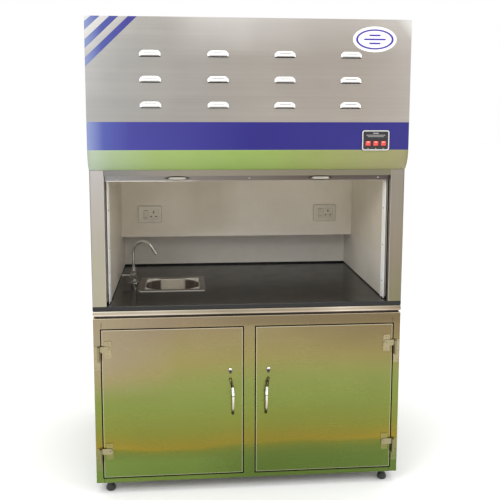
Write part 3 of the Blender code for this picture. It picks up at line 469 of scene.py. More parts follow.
def canopy_steel():
    """Satin sheet with a painted reflection across its face, painted highlights along the top and in both upper
    corners, and a darker painted reflection on the lintel below. The pressed hoods that stand out of its face
    are whiter as a painted highlight, with painted shade in their slots and under their lips.
    """
    g = Graph("canopy_steel")
    cloud = g.noise(1.3, 2, 0.5)
    lines = g.noise(1.0, 3, 0.6, (1.5, 420, 420))
    across = g.across()
    # Painted reflection across the face.
    face = g.ramp(across, [
        (0.0, 188, 187, 185), (0.10, 178, 176, 172), (0.30, 176, 171, 164),
        (0.55, 180, 172, 163), (0.85, 182, 172, 162), (1.0, 184, 177, 169),
    ])
    # Painted highlight along the top, dimmed near x = -0.4.
    above = g.spread(g.z, 1.90, 2.06)
    dull = g.spread(g.away(g.x, -0.40), 0.05, 0.20, 0.1, 0.55)
    face = g.mix(g.times(above, dull), face, rgb(222, 218, 212))
    # Painted highlight in the upper left corner.
    corner = g.plus(g.spread(g.x, -HALF_WIDE, -0.44), g.spread(g.z, 2.06, 1.86))
    face = g.mix(g.spread(corner, 0.15, 0.85, 0.8, 0), face, rgb(240, 239, 236))
    # Painted highlight at the top, near the middle.
    glow = g.times(g.spread(g.away(g.x, -0.08), 0.05, 0.30, 0.45, 0), above)
    face = g.mix(glow, face, rgb(240, 236, 230))
    # Painted highlight in the upper right corner.
    far_corner_highlight = g.plus(g.spread(g.x, HALF_WIDE, 0.60), g.spread(g.z, 2.06, 1.97))
    face = g.mix(g.spread(far_corner_highlight, 0.2, 1.0, 0.7, 0), face, rgb(250, 249, 246))
    face = g.mix(g.spread(cloud, 0.35, 0.7, 0, 0.18), face, rgb(190, 182, 172), "MULTIPLY")
    face = g.mix(g.spread(lines, 0.3, 0.7, 0, 0.08), face, rgb(236, 233, 227))
    # Painted reflection on the lintel, darker than the face.
    lintel = g.ramp(across, [
        (0.05, 140, 138, 136), (0.3, 154, 146, 132), (0.7, 140, 132, 114), (0.95, 134, 130, 108),
    ])
    face = g.mix(g.spread(g.z, 1.4345, 1.4340), face, lintel)
    hood = g.spread(g.y, -0.4804, -0.4816)
    column, row = g.away(g.past(g.x, *LOUVRE_COLUMNS)), g.past(g.z, *LOUVRE_ROWS)
    # Painted shade in the louvres' slots.
    slot_shade = g.times(g.spread(column, 0.020, 0.034, 1, 0), g.spread(g.away(row), 0.0012, 0.0036, 1, 0))
    # The louvre hoods are painted white as a highlight.
    pressed = g.mix(g.times(slot_shade, 0.8), rgb(250, 250, 248), rgb(112, 106, 100))
    # Painted shade under each louvre's lower lip.
    lip = g.times(g.spread(column, 0.035, 0.040, 1, 0), g.spread(row, -0.0085, -0.0105, 0, 0.75))
    pressed = g.mix(lip, pressed, rgb(120, 114, 108))
    g.bump(lines, 0.05, 0.0002)
    smears = g.spread(g.noise(4, 4, 0.6), 0.45, 0.75, 0, 0.06)
    rough = g.plus(g.spread(lines, 0.3, 0.7, 0.30, 0.37), smears)
    # The louvre hoods are less metallic, so that their painted white shows.
    metal = g.spread(hood, 0, 1, 1.0, 0.25)
    return g.done(g.mix(hood, face, pressed), rough, metal)


def granite():
    """Polished black stone with fine grey crystals."""
    g = Graph("black_granite")
    specks = g.spread(g.cells(620).outputs["Distance"], 0.08, 0.30, 1, 0)
    cloud = g.spread(g.noise(45, 4, 0.7), 0.45, 0.75)
    base = g.mix(cloud, rgb(17, 17, 17), rgb(27, 26, 25))
    return g.done(
        g.mix(g.times(specks, 0.25), base, rgb(86, 85, 82)),
        g.wander(0.16, 0.25, 12, 4, 0.6),
        specular_ior_level=0.42,
    )


def board():
    """Matt off-white board, a little dusty, with painted shade darker towards the top and towards the left, a
    painted reflection that darkens a patch of the baffle, and darker at the front edges.
    """
    g = Graph("liner_board")
    dust = g.noise(6, 5, 0.6)
    # Painted shade, darker towards the top.
    base = g.levels(g.z, [
        (0.85, 252, 248, 238), (1.02, 248, 242, 232), (1.06, 246, 238, 222), (1.43, 238, 228, 208),
    ])
    base = g.mix(g.spread(dust, 0.35, 0.7, 0, 0.2), base, rgb(204, 196, 180), "MULTIPLY")
    # Painted shade, darker towards the left.
    base = g.mix(g.spread(g.x, -0.5, 0.3, 0.42, 0), base, rgb(214, 208, 200), "MULTIPLY")
    # Painted reflection that darkens a patch of the baffle.
    patch = g.spread(g.away(g.x, -0.16), 0.06, 0.17, 0.32, 0)
    patch = g.times(patch, g.spread(g.z, 1.03, 1.10))
    base = g.mix(patch, base, rgb(206, 198, 178), "MULTIPLY")
    base = g.mix(g.spread(g.y, -0.34, 0.05, 0.5, 0), base, rgb(206, 202, 196), "MULTIPLY")
    g.bump(g.noise(420, 2, 0.5), 0.10, 0.0003)
    return g.done(base, g.wander(0.38, 0.5, 18, 3, 0.5))


def galvanised():
    g = Graph("galvanised")
    cell = g.cells(70)
    tone = g.mix(g.spread(cell.outputs["Distance"], 0, 0.6), rgb(150, 154, 158), rgb(192, 196, 200))
    return g.done(tone, g.wander(0.34, 0.5, 30, 3, 0.5), 1.0)


def iron():
    g = Graph("weight_iron")
    grit = g.noise(240, 4, 0.65)
    g.bump(grit, 0.5, 0.0006)
    rusty = g.spread(g.noise(20, 5, 0.7), 0.6, 0.75, 0, 0.6)
    return g.done(g.mix(rusty, rgb(52, 53, 56), rgb(96, 66, 48)), g.spread(grit, 0.3, 0.7, 0.5, 0.75), 0.5)


def glass():
    g = Graph("sash_glass")
    dust = g.noise(8, 5, 0.65)
    tint = g.mix(g.spread(dust, 0.4, 0.7), rgb(236, 246, 243), rgb(226, 240, 235))
    return g.done(tint, g.spread(dust, 0.45, 0.8, 0.0, 0.06), transmission_weight=1.0)


def lamp_diffuser():
    g = Graph("lamp_diffuser")
    prisms = g.cells(160)
    g.bump(prisms.outputs["Distance"], 0.4, 0.001)
    tone = g.mix(prisms.outputs["Distance"], rgb(245, 244, 240), rgb(226, 226, 222))
    rough = g.wander(0.4, 0.5, 30)
    return g.done(tone, rough, emission_strength=0.15, emission_color=(1, 0.98, 0.94, 1))


def rocker_red():
    """Red plastic that glows from inside, and darkens towards the rocker's two ends."""
    g = Graph("rocker_red")
    glow = g.noise(120, 3, 0.5)
    end = g.spread(g.away(g.z, ROCKER_HEIGHT), 0.0088, 0.0100)
    lit = g.mix(g.spread(glow, 0.3, 0.7), rgb(198, 44, 44), rgb(220, 80, 76))
    tone = g.mix(end, lit, rgb(70, 16, 18))
    return g.done(
        tone, g.spread(glow, 0.3, 0.7, 0.2, 0.3), coat_weight=0.2,
        emission_strength=g.spread(end, 0, 1, 0.15, 0.0), emission_color=(1, 0.12, 0.09, 1),
    )


def cable():
    """Laid wire rope: the strands show as slanting bands."""
    g = Graph("cable_steel")
    wave = g.add("ShaderNodeTexWave", wave_type="BANDS", bands_direction="DIAGONAL")
    g.put(wave, "Vector", g.place)
    g.put(wave, "Scale", 260)
    g.bump(wave.outputs[1], 0.6, 0.0004)
    tone = g.mix(wave.outputs[1], rgb(120, 120, 122), rgb(196, 196, 198))
    return g.done(tone, g.wander(0.3, 0.4, 90), 1.0)


def floor_paint():
    g = Graph("studio_floor")
    tone = g.mix(g.spread(g.noise(0.6, 3, 0.5), 0.35, 0.7), rgb(250, 250, 250), rgb(248, 248, 248))
    return g.done(tone, g.wander(0.7, 0.8, 3))


MATERIALS = {
    "cabinet_steel": cabinet_steel(),
    "post_steel": post_steel(),
    "strip_steel": strip_steel(),
    "canopy_steel": canopy_steel(),
    "satin_steel": steel("satin_steel", rgb(208, 203, 195), 0.32, "z"),
    "sink_steel": sink_steel(),
    "duct_steel": galvanised(),
    "black_granite": granite(),
    "liner_board": board(),
    "lamp_diffuser": lamp_diffuser(),
    "rail_edge": rail_edge(),
    "rail_aluminium": rail_aluminium(),
    "handle_chrome": handle_chrome(),
    "lock_chrome": lock_chrome(),
    "hinge_satin": hinge_satin(),
    "pull_satin": pull_satin(),
    "sash_aluminium": steel("sash_aluminium", rgb(150, 142, 134), 0.34, "x"),
    "sash_glass": glass(),
    "chrome": chrome("chrome", rgb(232, 231, 228), 0.07),
    "tap_chrome": tap_chrome(),
    "screw_steel": chrome("screw_steel", rgb(214, 212, 206), 0.14),
    "hinge_screw": chrome("hinge_screw", rgb(160, 148, 114), 0.24),
    "weight_iron": iron(),
    "impeller_aluminium": steel("impeller_aluminium", rgb(166, 166, 168), 0.4, "z"),
    "rocker_red": rocker_red(),
    "blue_vinyl": film("blue_vinyl", [
        (0.0, 132, 144, 184), (0.05, 78, 86, 154), (0.13, 64, 63, 139), (0.5, 44, 39, 120),
        (1.0, 50, 46, 122),
    ]),
    # green_vinyl is a painted reflection of the green room on the canopy's curve, laid as a film.
    "green_vinyl": film("green_vinyl", [
        (0.0, 170, 182, 164), (0.07, 152, 170, 132), (0.2, 144, 164, 98), (0.45, 138, 162, 84),
        (0.6, 140, 158, 84), (0.76, 142, 148, 88), (1.0, 150, 144, 104),
    ]),
    "cable_steel": cable(),
}

PLASTICS = {
    "socket_plastic": ((218, 210, 192), 0.30, {}),
    "strip_white": ((252, 250, 242), 0.30, {}),
    "bezel_silver": ((206, 204, 202), 0.30, dict(metallic=0.4)),
    "dark_plastic": ((36, 34, 32), 0.45, {}),
    "seam_shadow": ((48, 42, 32), 0.6, {}),
    "pulley_nylon": ((222, 221, 214), 0.42, {}),
    "panel_black": ((30, 29, 30), 0.26, dict(texture=500, strength=0.04, coat_weight=0.4)),
    "pipe_plastic": ((226, 226, 221), 0.4, {}),
    "foot_rubber": ((30, 34, 30), 0.36, dict(texture=300, strength=0.1, coat_weight=0.2)),
    "badge_white": ((246, 246, 248), 0.2, dict(texture=500, strength=0.03, coat_weight=0.5)),
    "badge_violet": ((62, 46, 150), 0.3, dict(texture=500, strength=0.03, coat_weight=0.3)),
    "mark_grey": ((150, 146, 146), 0.4, {}),
    # mark_pink is the pink of the rockers' painted highlight.
    "mark_pink": ((250, 190, 180), 0.35, {}),
}
for name, (tint, roughness, more) in PLASTICS.items():
    MATERIALS[name] = plastic(name, rgb(*tint), roughness, **more)

# CAD nodes whose finish isn't the one their record slot is named after.
OWN_FINISH = {
    "cabinet_shell": "cabinet_steel", "cabinet_face_frame": "cabinet_steel", "left_door": "cabinet_steel",
    "right_door": "cabinet_steel", "worktop_support_frame": "strip_steel", "left_front_post": "post_steel",
    "right_front_post": "post_steel", "fan_motor": "weight_iron", "sash_bottom_rail": "rail_aluminium",
    "left_door_handle": "handle_chrome", "right_door_handle": "handle_chrome",
    "left_door_lock": "lock_chrome", "right_door_lock": "lock_chrome",
    "left_sash_pull": "pull_satin", "right_sash_pull": "pull_satin",
    "tap_body": "tap_chrome", "tap_spout": "tap_chrome", "tap_lever": "tap_chrome",
}


def dress_nodes():
    slots = {row["node"]: row["material_slot"] for row in frame["record"]["subparts"]}
    for name, node in NODES.items():
        finish = MATERIALS["hinge_satin" if "hinge" in name else OWN_FINISH.get(name, slots[name])]
        node.data.materials.clear()
        node.data.materials.append(finish)
        node.data.shade_smooth()
        node.data.set_sharp_from_angle(angle=radians(34))


# ---------------------------------------------------------------- shapes
def piece(name, shape, finish, body, smooth=34, bevel=0.0):
    """A visible piece from a bmesh in the hood's frame, riding on a body."""
    bmesh.ops.recalc_face_normals(shape, faces=shape.faces)
    mesh = bpy.data.meshes.new(name)
    shape.to_mesh(mesh)
    shape.free()
    finishes = finish if isinstance(finish, list) else [finish]
    for each in finishes:
        mesh.materials.append(MATERIALS[each])
    mesh.shade_smooth()
    mesh.set_sharp_from_angle(angle=radians(smooth))
    made = bpy.data.objects.new(name, mesh)
    bpy.context.scene.collection.objects.link(made)
    if bevel:
        step = made.modifiers.new("soft edges", "BEVEL")
        step.width = bevel
        step.segments = 2
        step.limit_method = "ANGLE"
        step.angle_limit = radians(40)
    if body:
        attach(made, body)
    return made


def join(*shapes):
    whole = bmesh.new()
    for shape in shapes:
        mesh = bpy.data.meshes.new("joined")
        bmesh.ops.recalc_face_normals(shape, faces=shape.faces)
        shape.to_mesh(mesh)
        shape.free()
        whole.from_mesh(mesh)
        bpy.data.meshes.remove(mesh)
    return whole


def prism(outline, front, back):
    """An outline in (X, Z), extruded in Y from front to back."""
    shape = bmesh.new()
    rows = [[shape.verts.new((x, y, z)) for x, z in outline] for y in (front, back)]
    shape.faces.new(rows[0])
    shape.faces.new(rows[1])
    for k in range(len(outline)):
        n = (k + 1) % len(outline)
        shape.faces.new((rows[0][k], rows[0][n], rows[1][n], rows[1][k]))
    return shape


def slab(low, high):
    """A box between two corners."""
    (x0, y0, z0), (x1, y1, z1) = low, high
    return prism([(x0, z0), (x1, z0), (x1, z1), (x0, z1)], y0, y1)


def turned(profile, matrix, segments):
    """A profile of (radius, height) turned round Z, then placed by matrix. An open profile gets flat ends."""
    shape = bmesh.new()
    rings = []
    for radius, height in profile:
        angles = [2 * pi * k / segments for k in range(segments)] if radius else [0]
        rings.append([shape.verts.new((radius * cos(a), radius * sin(a), height)) for a in angles])
    for low, high in zip(rings, rings[1:]):
        for k in range(segments):
            n = (k + 1) % segments
            corners = [low[k % len(low)], low[n % len(low)], high[n % len(high)], high[k % len(high)]]
            corners = [c for i, c in enumerate(corners) if c not in corners[:i]]
            shape.faces.new(corners)
    if max(abs(a - b) for a, b in zip(profile[0], profile[-1])) < 1e-6:
        bmesh.ops.remove_doubles(shape, verts=shape.verts, dist=1e-6)
    else:
        for end in (rings[0], rings[-1]):
            if len(end) > 1:
                shape.faces.new(end)
    bmesh.ops.transform(shape, matrix=matrix, verts=shape.verts)
    return shape


def tube(path, radius):
    """A round bar along a path of points."""
    sides = 8
    shape = bmesh.new()
    rings = []
    path = [Vector(p) for p in path]
    for i, point in enumerate(path):
        along = (path[min(i + 1, len(path) - 1)] - path[max(i - 1, 0)]).normalized()
        side = Vector((1, 0, 0))
        up = side.cross(along).normalized()
        rings.append([
            shape.verts.new(point + radius * (side * cos(2 * pi * k / sides) + up * sin(2 * pi * k / sides)))
            for k in range(sides)
        ])
    for low, high in zip(rings, rings[1:]):
        for k in range(sides):
            n = (k + 1) % sides
            shape.faces.new((low[k], low[n], high[n], high[k]))
    shape.faces.new(rings[0])
    shape.faces.new(rings[-1])
    return shape


def facing(point, direction):
    """Puts +Z along a direction, at a point."""
    return Matrix.Translation(point) @ Vector(direction).to_track_quat("Z", "Y").to_matrix().to_4x4()


def screw(point, direction, radius):
    """A pan head with a cross recess, drawn as a dark cross: painted shade in the recess."""
    place = facing(point, direction)
    profile = [(1, 0), (1, 0.25), (0.86, 0.48), (0.5, 0.62), (0, 0.66)]
    head = turned([(radius * out, radius * up) for out, up in profile], place, 12)
    wide, thin = radius * 0.62, radius * 0.14
    cross = []
    for turn in (0, 90):
        bar = slab((-wide, radius * -0.72, -thin), (wide, radius * -0.60, thin))
        bmesh.ops.transform(bar, matrix=Matrix.Rotation(radians(turn), 4, "Y"), verts=bar.verts)
        bmesh.ops.transform(bar, matrix=place @ Matrix.Rotation(radians(-90), 4, "X"), verts=bar.verts)
        # The cross is dark_plastic: painted shade in the recess.
        for face in bar.faces:
            face.material_index = 1
        cross.append(bar)
    return join(head, *cross)


def screws(name, body, points, direction, radius, finish="screw_steel"):
    heads = join(*[screw(p, direction, radius) for p in points])
    piece(name, heads, [finish, "dark_plastic"], body)


def ellipse(centre, half_x, half_z, steps=48):
    angles = [2 * pi * k / steps for k in range(steps)]
    return [(centre[0] + half_x * cos(a), centre[1] + half_z * sin(a)) for a in angles]


def rounded(centre, size, radius, steps=4):
    points = []
    for k, (sx, sz) in enumerate(((1, 1), (-1, 1), (-1, -1), (1, -1))):
        cx, cz = centre[0] + sx * (size[0] / 2 - radius), centre[1] + sz * (size[1] / 2 - radius)
        for i in range(steps + 1):
            angle = (k + i / steps) * pi / 2
            points.append((cx + radius * cos(angle), cz + radius * sin(angle)))
    return points


def ring(outer, inner, front, back):
    """The band between two outlines with the same number of points."""
    shape = bmesh.new()
    corners = ((outer, front), (outer, back), (inner, back), (inner, front))
    loops = [[shape.verts.new((x, y, z)) for x, z in line] for line, y in corners]
    for a, b in zip(loops, loops[1:] + loops[:1]):
        for k in range(len(outer)):
            n = (k + 1) % len(outer)
            shape.faces.new((a[k], a[n], b[n], b[k]))
    return shape


# ---------------------------------------------------------------- canopy
def canopy_details():
    low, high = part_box("canopy_front")
    left, right, top = low.x + 0.0006, high.x - 0.0006, high.z - 0.0004
    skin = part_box("control_panel")[1].y + 0.0003
    front = skin - 0.00022
    back = skin - 0.00002
    band_top, band_low = 1.635, 1.519
    stations = [left + (right - left) * k / 40 for k in range(41)]

    outline = [(x, band_top) for x in stations] + [(x, band_low) for x in reversed(stations)]
    piece("blue_band", prism(outline, front, back), "blue_vinyl", "hood")

    # The green band over the curve is a painted reflection of the green room, drawn as a thin film.
    fold, film_radius, sweep, steps = 0.110, 0.11022, radians(51.2), 18
    shape = bmesh.new()
    grid = []
    for k in range(steps + 1):
        angle = sweep * k / steps
        y = skin + fold - film_radius * cos(angle)
        z = band_low - film_radius * sin(angle)
        grid.append([shape.verts.new((x, y, z)) for x in stations])
    for a, b in zip(grid, grid[1:]):
        for i in range(len(stations) - 1):
            shape.faces.new((a[i], a[i + 1], b[i + 1], b[i]))
    band = piece("green_band", shape, "green_vinyl", "hood")
    step = band.modifiers.new("film thickness", "SOLIDIFY")
    step.thickness = 0.0002
    step.offset = 1.0

    for k in range(3):
        along_top = (-0.6475 + 0.0742 * k, -0.6120 + 0.0742 * k)
        down_side = (2.0380 - 0.0720 * k, 2.0030 - 0.0726 * k)
        outline = [(along_top[0], top), (along_top[1], top), (left, down_side[1]), (left, down_side[0])]
        piece(f"corner_stripe_{k + 1}", prism(outline, front, back), "blue_vinyl", "hood")


def badge():
    """A plain oval plate: a rim line, and three soft bars that stand for nothing."""
    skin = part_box("control_panel")[1].y + 0.0003
    centre = (0.518, 1.978)
    face, proud = skin - 0.0021, skin - 0.0026
    plate = prism(ellipse(centre, 0.0928, 0.0525), skin - 0.0022, skin - 0.0001)
    piece("oval_badge", plate, "badge_white", "hood", smooth=40, bevel=0.0009)
    rim = ring(ellipse(centre, 0.0800, 0.0415), ellipse(centre, 0.0710, 0.0350), proud, face)
    piece("oval_badge_rim", rim, "badge_violet", "hood")
    bars = [
        prism(rounded((centre[0], centre[1] + up), (wide, 0.0070), 0.003), proud, face)
        for up, wide in ((0.0165, 0.048), (0, 0.092), (-0.0165, 0.048))
    ]
    piece("oval_badge_bars", join(*bars), "badge_violet", "hood")


def control_details():
    low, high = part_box("control_panel")
    centre = ((low.x + high.x) / 2, (low.z + high.z) / 2)
    size = (high.x - low.x, high.z - low.z)
    proud, face = low.y - 0.0004, low.y + 0.0002
    outer = rounded(centre, size, 0.009)
    inner = rounded(centre, (size[0] - 0.0096, size[1] - 0.0096), 0.0055)
    bezel = ring(outer, inner, low.y - 0.0014, low.y + 0.0004)
    piece("panel_bezel", bezel, "bezel_silver", "hood", bevel=0.0004)
    rows = ((0.0125, 0.024, 0.0050), (0.0205, 0.082, 0.0030), (0.0265, 0.070, 0.0024))
    marks = [
        prism(rounded((centre[0], high.z - down), (wide, tall), tall * 0.45), proud, face)
        for down, wide, tall in rows
    ]
    for k in range(3):
        switch_low, switch_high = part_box(f"rocker_switch_{k + 1}")
        x, z = (switch_low.x + switch_high.x) / 2, (switch_low.z + switch_high.z) / 2
        marks.append(prism(ellipse((x, low.z + 0.0085), 0.0026, 0.0022, 14), proud, face))
        outer, inner = rounded((x, z), (0.0262, 0.0336), 0.002), rounded((x, z), (0.0222, 0.0294), 0.001)
        ledge = ring(outer, inner, low.y - 0.0010, face)
        piece(f"rocker_frame_{k + 1}", ledge, "dark_plastic", "hood")
        # A pink dash near the rocker's top: a painted highlight.
        dash = slab(
            (x - 0.0050, switch_low.y - 0.00005, switch_high.z - 0.0100),
            (x + 0.0050, switch_low.y + 0.0012, switch_high.z - 0.0068),
        )
        piece(f"rocker_highlight_{k + 1}", dash, "mark_pink", f"rocker_{k + 1}", bevel=0.0002)
    piece("panel_marks", join(*marks), "mark_grey", "hood")


# ---------------------------------------------------------------- chamber
def socket_details():
    for side in ("left", "right"):
        low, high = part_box(f"{side}_socket_plate")
        face, middle, z = low.y, (low.x + high.x) / 2, (low.z + high.z) / 2
        earth = middle + 0.018
        pins = [(earth, z + 0.0115, 0.0058, 0.0115)]
        pins += [(earth + aside, z - 0.0105, 0.0092, 0.0058) for aside in (-0.0125, 0.0125)]
        # Dark insets stand for the pin holes: painted shade.
        pin_hole_shades = [
            prism(rounded((x, up), (wide, tall), 0.0012, 2), face - 0.0002, face + 0.0003)
            for x, up, wide, tall in pins
        ]
        piece(f"{side}_socket_pin_holes", join(*pin_hole_shades), "dark_plastic", "hood")
        seams = [
            ring(rounded((x, z), *outer), rounded((x, z), *inner), face - proud, face + 0.0002)
            for x, proud, outer, inner in (
                (middle, 0.0003, ((0.1175, 0.0855), 0.005), ((0.1160, 0.0840), 0.0044)),
                (earth, 0.0004, ((0.050, 0.048), 0.006), ((0.0492, 0.0472), 0.0056)),
            )
        ]
        piece(f"{side}_socket_seams", join(*seams), "seam_shadow", "hood")
        switch_low, switch_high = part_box(f"{side}_socket_switch")
        x = (switch_low.x + switch_high.x) / 2
        y, z = switch_low.y, switch_low.z
        spot = slab((x - 0.0060, y - 0.00005, z + 0.0080), (x + 0.0060, y + 0.0016, z + 0.0094))
        name, rocker = f"{side}_socket_switch_mark", f"{side}_socket_rocker"
        piece(name, spot, "seam_shadow", rocker, bevel=0.0002)


def laid_flat(shape):
    """Turns a shape drawn in (X, Z) and extruded in Y into one drawn in (X, Y) and extruded in Z."""
    swap = Matrix(((1, 0, 0, 0), (0, 0, 1, 0), (0, 1, 0, 0), (0, 0, 0, 1)))
    bmesh.ops.transform(shape, matrix=swap, verts=shape.verts)
    return shape


def chamber_details():
    strip_low, strip_high = 0.8485, 1.3900
    for side, sign in SIDES:
        outline = [(0.6030, -0.3475), (0.6072, -0.3862), (0.6096, -0.3862), (0.6060, -0.3500)]
        strip = laid_flat(prism([(sign * x, y) for x, y in outline], strip_low, strip_high))
        piece(f"{side}_flange_strip", strip, "strip_white", "hood", bevel=0.0003)
        points = [(sign * 0.6050, -0.3690, z) for z in (0.925, 1.090, 1.255, 1.375)]
        screws(f"{side}_flange_screws", "hood", points, (-sign, -0.11, 0), 0.0032)
        seal = slab((sign * 0.6185, -0.3835, 0.8532), (sign * 0.6290, -0.3792, 1.4295))
        piece(f"{side}_flange_edge_seal", seal, "dark_plastic", "hood", bevel=0.0008)
    bead = slab((-0.6035, 0.4226, 0.8526), (0.6035, 0.4248, 0.8548))
    piece("rear_silicone_bead", bead, "seam_shadow", "hood", bevel=0.0006)

    lamp_low, lamp_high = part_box("chamber_lamp")
    y = (lamp_low.y + lamp_high.y) / 2
    outer, inner = [
        [(sx * half_x, y + sy * half_y) for sx, sy in ((-1, -1), (1, -1), (1, 1), (-1, 1))]
        for half_x, half_y in ((0.310, 0.050), (0.299, 0.039))
    ]
    trim = laid_flat(ring(outer, inner, 1.4286, 1.4302))
    piece("lamp_trim", trim, "sash_aluminium", "hood", bevel=0.0004)

    guard = []
    centre = Vector((*FAN_AXIS, 1.4268))
    for radius in (0.030, 0.052, 0.074, 0.096):
        loop = [(radius + 0.0011 * cos(k * pi / 2), 0.0011 * sin(k * pi / 2)) for k in range(5)]
        guard.append(turned(loop, Matrix.Translation(centre), 40))
    for k in range(4):
        turn = Matrix.Translation(centre) @ Matrix.Rotation(k * pi / 4, 4, "Z")
        bar = slab((-0.106, -0.0011, -0.0030), (0.106, 0.0011, -0.0008))
        bmesh.ops.transform(bar, matrix=turn, verts=bar.verts)
        guard.append(bar)
    band = [(0.100, 0.0005), (0.109, 0.0005), (0.109, 0.0033), (0.100, 0.0033), (0.100, 0.0005)]
    guard.append(turned(band, Matrix.Translation(centre), 40))
    piece("fan_finger_guard", join(*guard), "screw_steel", "hood")


def sink_details():
    low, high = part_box("sink_bowl")
    centre = Vector(((low.x + high.x) / 2, (low.y + high.y) / 2, 0.6966))
    place = Matrix.Translation(centre)
    profile = [(0.0205, 0.0004), (0.0300, 0.0004), (0.0312, 0.0014), (0.0295, 0.0024), (0.0225, 0.0016)]
    rim = turned(profile + profile[:1], place, 32)
    dish = [(0, -0.0010), (0.0208, 0.0002), (0.0208, 0.0010), (0.012, 0.0000), (0, -0.0004)]
    grid = turned(dish, place, 24)
    piece("sink_strainer", join(rim, grid), "chrome", "hood")
    # Dark bumps stand for the strainer's holes: painted shade.
    strainer_hole_shades = []
    for count, radius in ((1, 0.0), (6, 0.0075), (12, 0.0148)):
        for k in range(count):
            angle = 2 * pi * k / count
            spot = centre + Vector((radius * cos(angle), radius * sin(angle), 0.0001 + radius * 0.03))
            hole = [(0.0017, 0.0), (0.0017, 0.0006), (0.0, 0.0007)]
            strainer_hole_shades.append(turned(hole, Matrix.Translation(spot), 10))
    piece("sink_strainer_holes", join(*strainer_hole_shades), "dark_plastic", "hood")


def tap_details():
    x, y = -0.530, 0.020
    base = Matrix.Translation((x, y, 0.8465))
    foot = [(0.0245, 0.0002), (0.0272, 0.0002), (0.0272, 0.0014), (0.0245, 0.0022)]
    waist = [(0.0149, 0.0240), (0.0162, 0.0250), (0.0162, 0.0275), (0.0149, 0.0285)]
    rings = [turned(profile + profile[:1], base, 32) for profile in (foot, waist)]
    piece("tap_body_rings", join(*rings), "chrome", "hood")
    profile = [(0.0070, 0.0), (0.0070, 0.0004), (0.0058, 0.0008), (0, 0.0009)]
    cap = turned(profile, facing((x, y - 0.0398, 0.8905), (0, -1, 0)), 20)
    piece("tap_lever_cap", cap, "sash_aluminium", "lever")


# ---------------------------------------------------------------- sash
def vesica(centre, half, tall):
    """A pointed oval between two arcs."""
    (x, z), steps = centre, 16
    upper = [(x + half * (1 - 2 * k / steps), z + tall * sin(pi * k / steps)) for k in range(steps + 1)]
    return upper + [(x, 2 * z - up) for x, up in reversed(upper[1:-1])]


def sash_details():
    rail_low, rail_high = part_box("sash_bottom_rail")
    z = (rail_low.z + rail_high.z) / 2
    points = [(x, rail_low.y, z) for x in (-0.563, 0.0, 0.563)]
    screws("sash_rail_screws", "sash", points, (0, -1, 0), 0.0038)
    # A strip under the rail that carries rail_edge's painted highlight.
    lip_high = (rail_high.x - 0.002, rail_high.y - 0.004, rail_low.z + 0.0004)
    lip = slab(rail_low + Vector((0.002, 0.001, -0.0030)), lip_high)
    piece("sash_lower_lip", lip, "rail_edge", "sash", bevel=0.0008)
    for side in ("left", "right"):
        pull_low, pull_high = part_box(f"{side}_sash_pull")
        middle = ((pull_low.x + pull_high.x) / 2, z)
        # A dark pointed oval behind each pull: painted shade of its recess.
        plate = prism(vesica(middle, 0.0585, 0.0082), rail_low.y - 0.0002, rail_low.y + 0.0004)
        piece(f"{side}_pull_recess_shade", plate, "dark_plastic", "sash")
    glass_low, glass_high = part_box("sash_glass")
    beads = []
    for y in (glass_low.y - 0.0022, glass_high.y + 0.0002):
        for z in (glass_low.z + 0.0002, glass_high.z - 0.006):
            beads.append(slab((glass_low.x, y, z), (glass_high.x, y + 0.0020, z + 0.0058)))
    piece("sash_glazing_bead", join(*beads), "dark_plastic", "sash", bevel=0.0004)
    for side, sign in SIDES:
        balance_details(side, sign)


def balance_details(side, sign):
    """The sash's cable: up from its corner, over the pulley and down to the counterweight."""
    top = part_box("sash_frame")[1].z
    wheel_low, wheel_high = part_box(f"{side}_sash_pulley")
    axle = (wheel_low + wheel_high) / 2
    x, run = axle.x, 0.040
    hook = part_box(f"{side}_counterweight")[1].z
    front, back = axle.y - run, axle.y + run
    up = [(x, front, top - 0.004 + (axle.z - top + 0.004) * k / 24) for k in range(25)]
    cable_up = piece(f"{side}_cable_to_sash", tube(up, 0.0015), "cable_steel", None)
    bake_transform(cable_up)
    over = [(x, axle.y - run * cos(pi * k / 20), axle.z + run * sin(pi * k / 20)) for k in range(21)]
    piece(f"{side}_cable_over_pulley", tube(over, 0.0015), "cable_steel", "hood")
    down = [(x, back, hook - 0.004 + (axle.z - hook + 0.004) * k / 48) for k in range(49)]
    cable_down = piece(f"{side}_cable_to_weight", tube(down, 0.0015), "cable_steel", None)
    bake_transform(cable_down)
    crimp = [(0.0016, 0), (0.0036, 0.001), (0.0036, 0.012), (0.0016, 0.013)]
    ends = (("sash_crimp", front, top, "sash"), ("weight_crimp", back, hook, f"{side}_counterweight"))
    for name, y, z, body in ends:
        place = Matrix.Translation((x, y, z - 0.001))
        piece(f"{side}_{name}", turned(crimp, place, 12), "screw_steel", body)
    profile = [(0.0, 0.0035), (0.0052, 0.0035), (0.0072, 0.0022), (0.0072, 0.0004)]
    cap = turned(profile, facing((x - sign * 0.0118, axle.y, axle.z), (-sign, 0, 0)), 16)
    piece(f"{side}_pulley_cap", cap, "screw_steel", "hood")


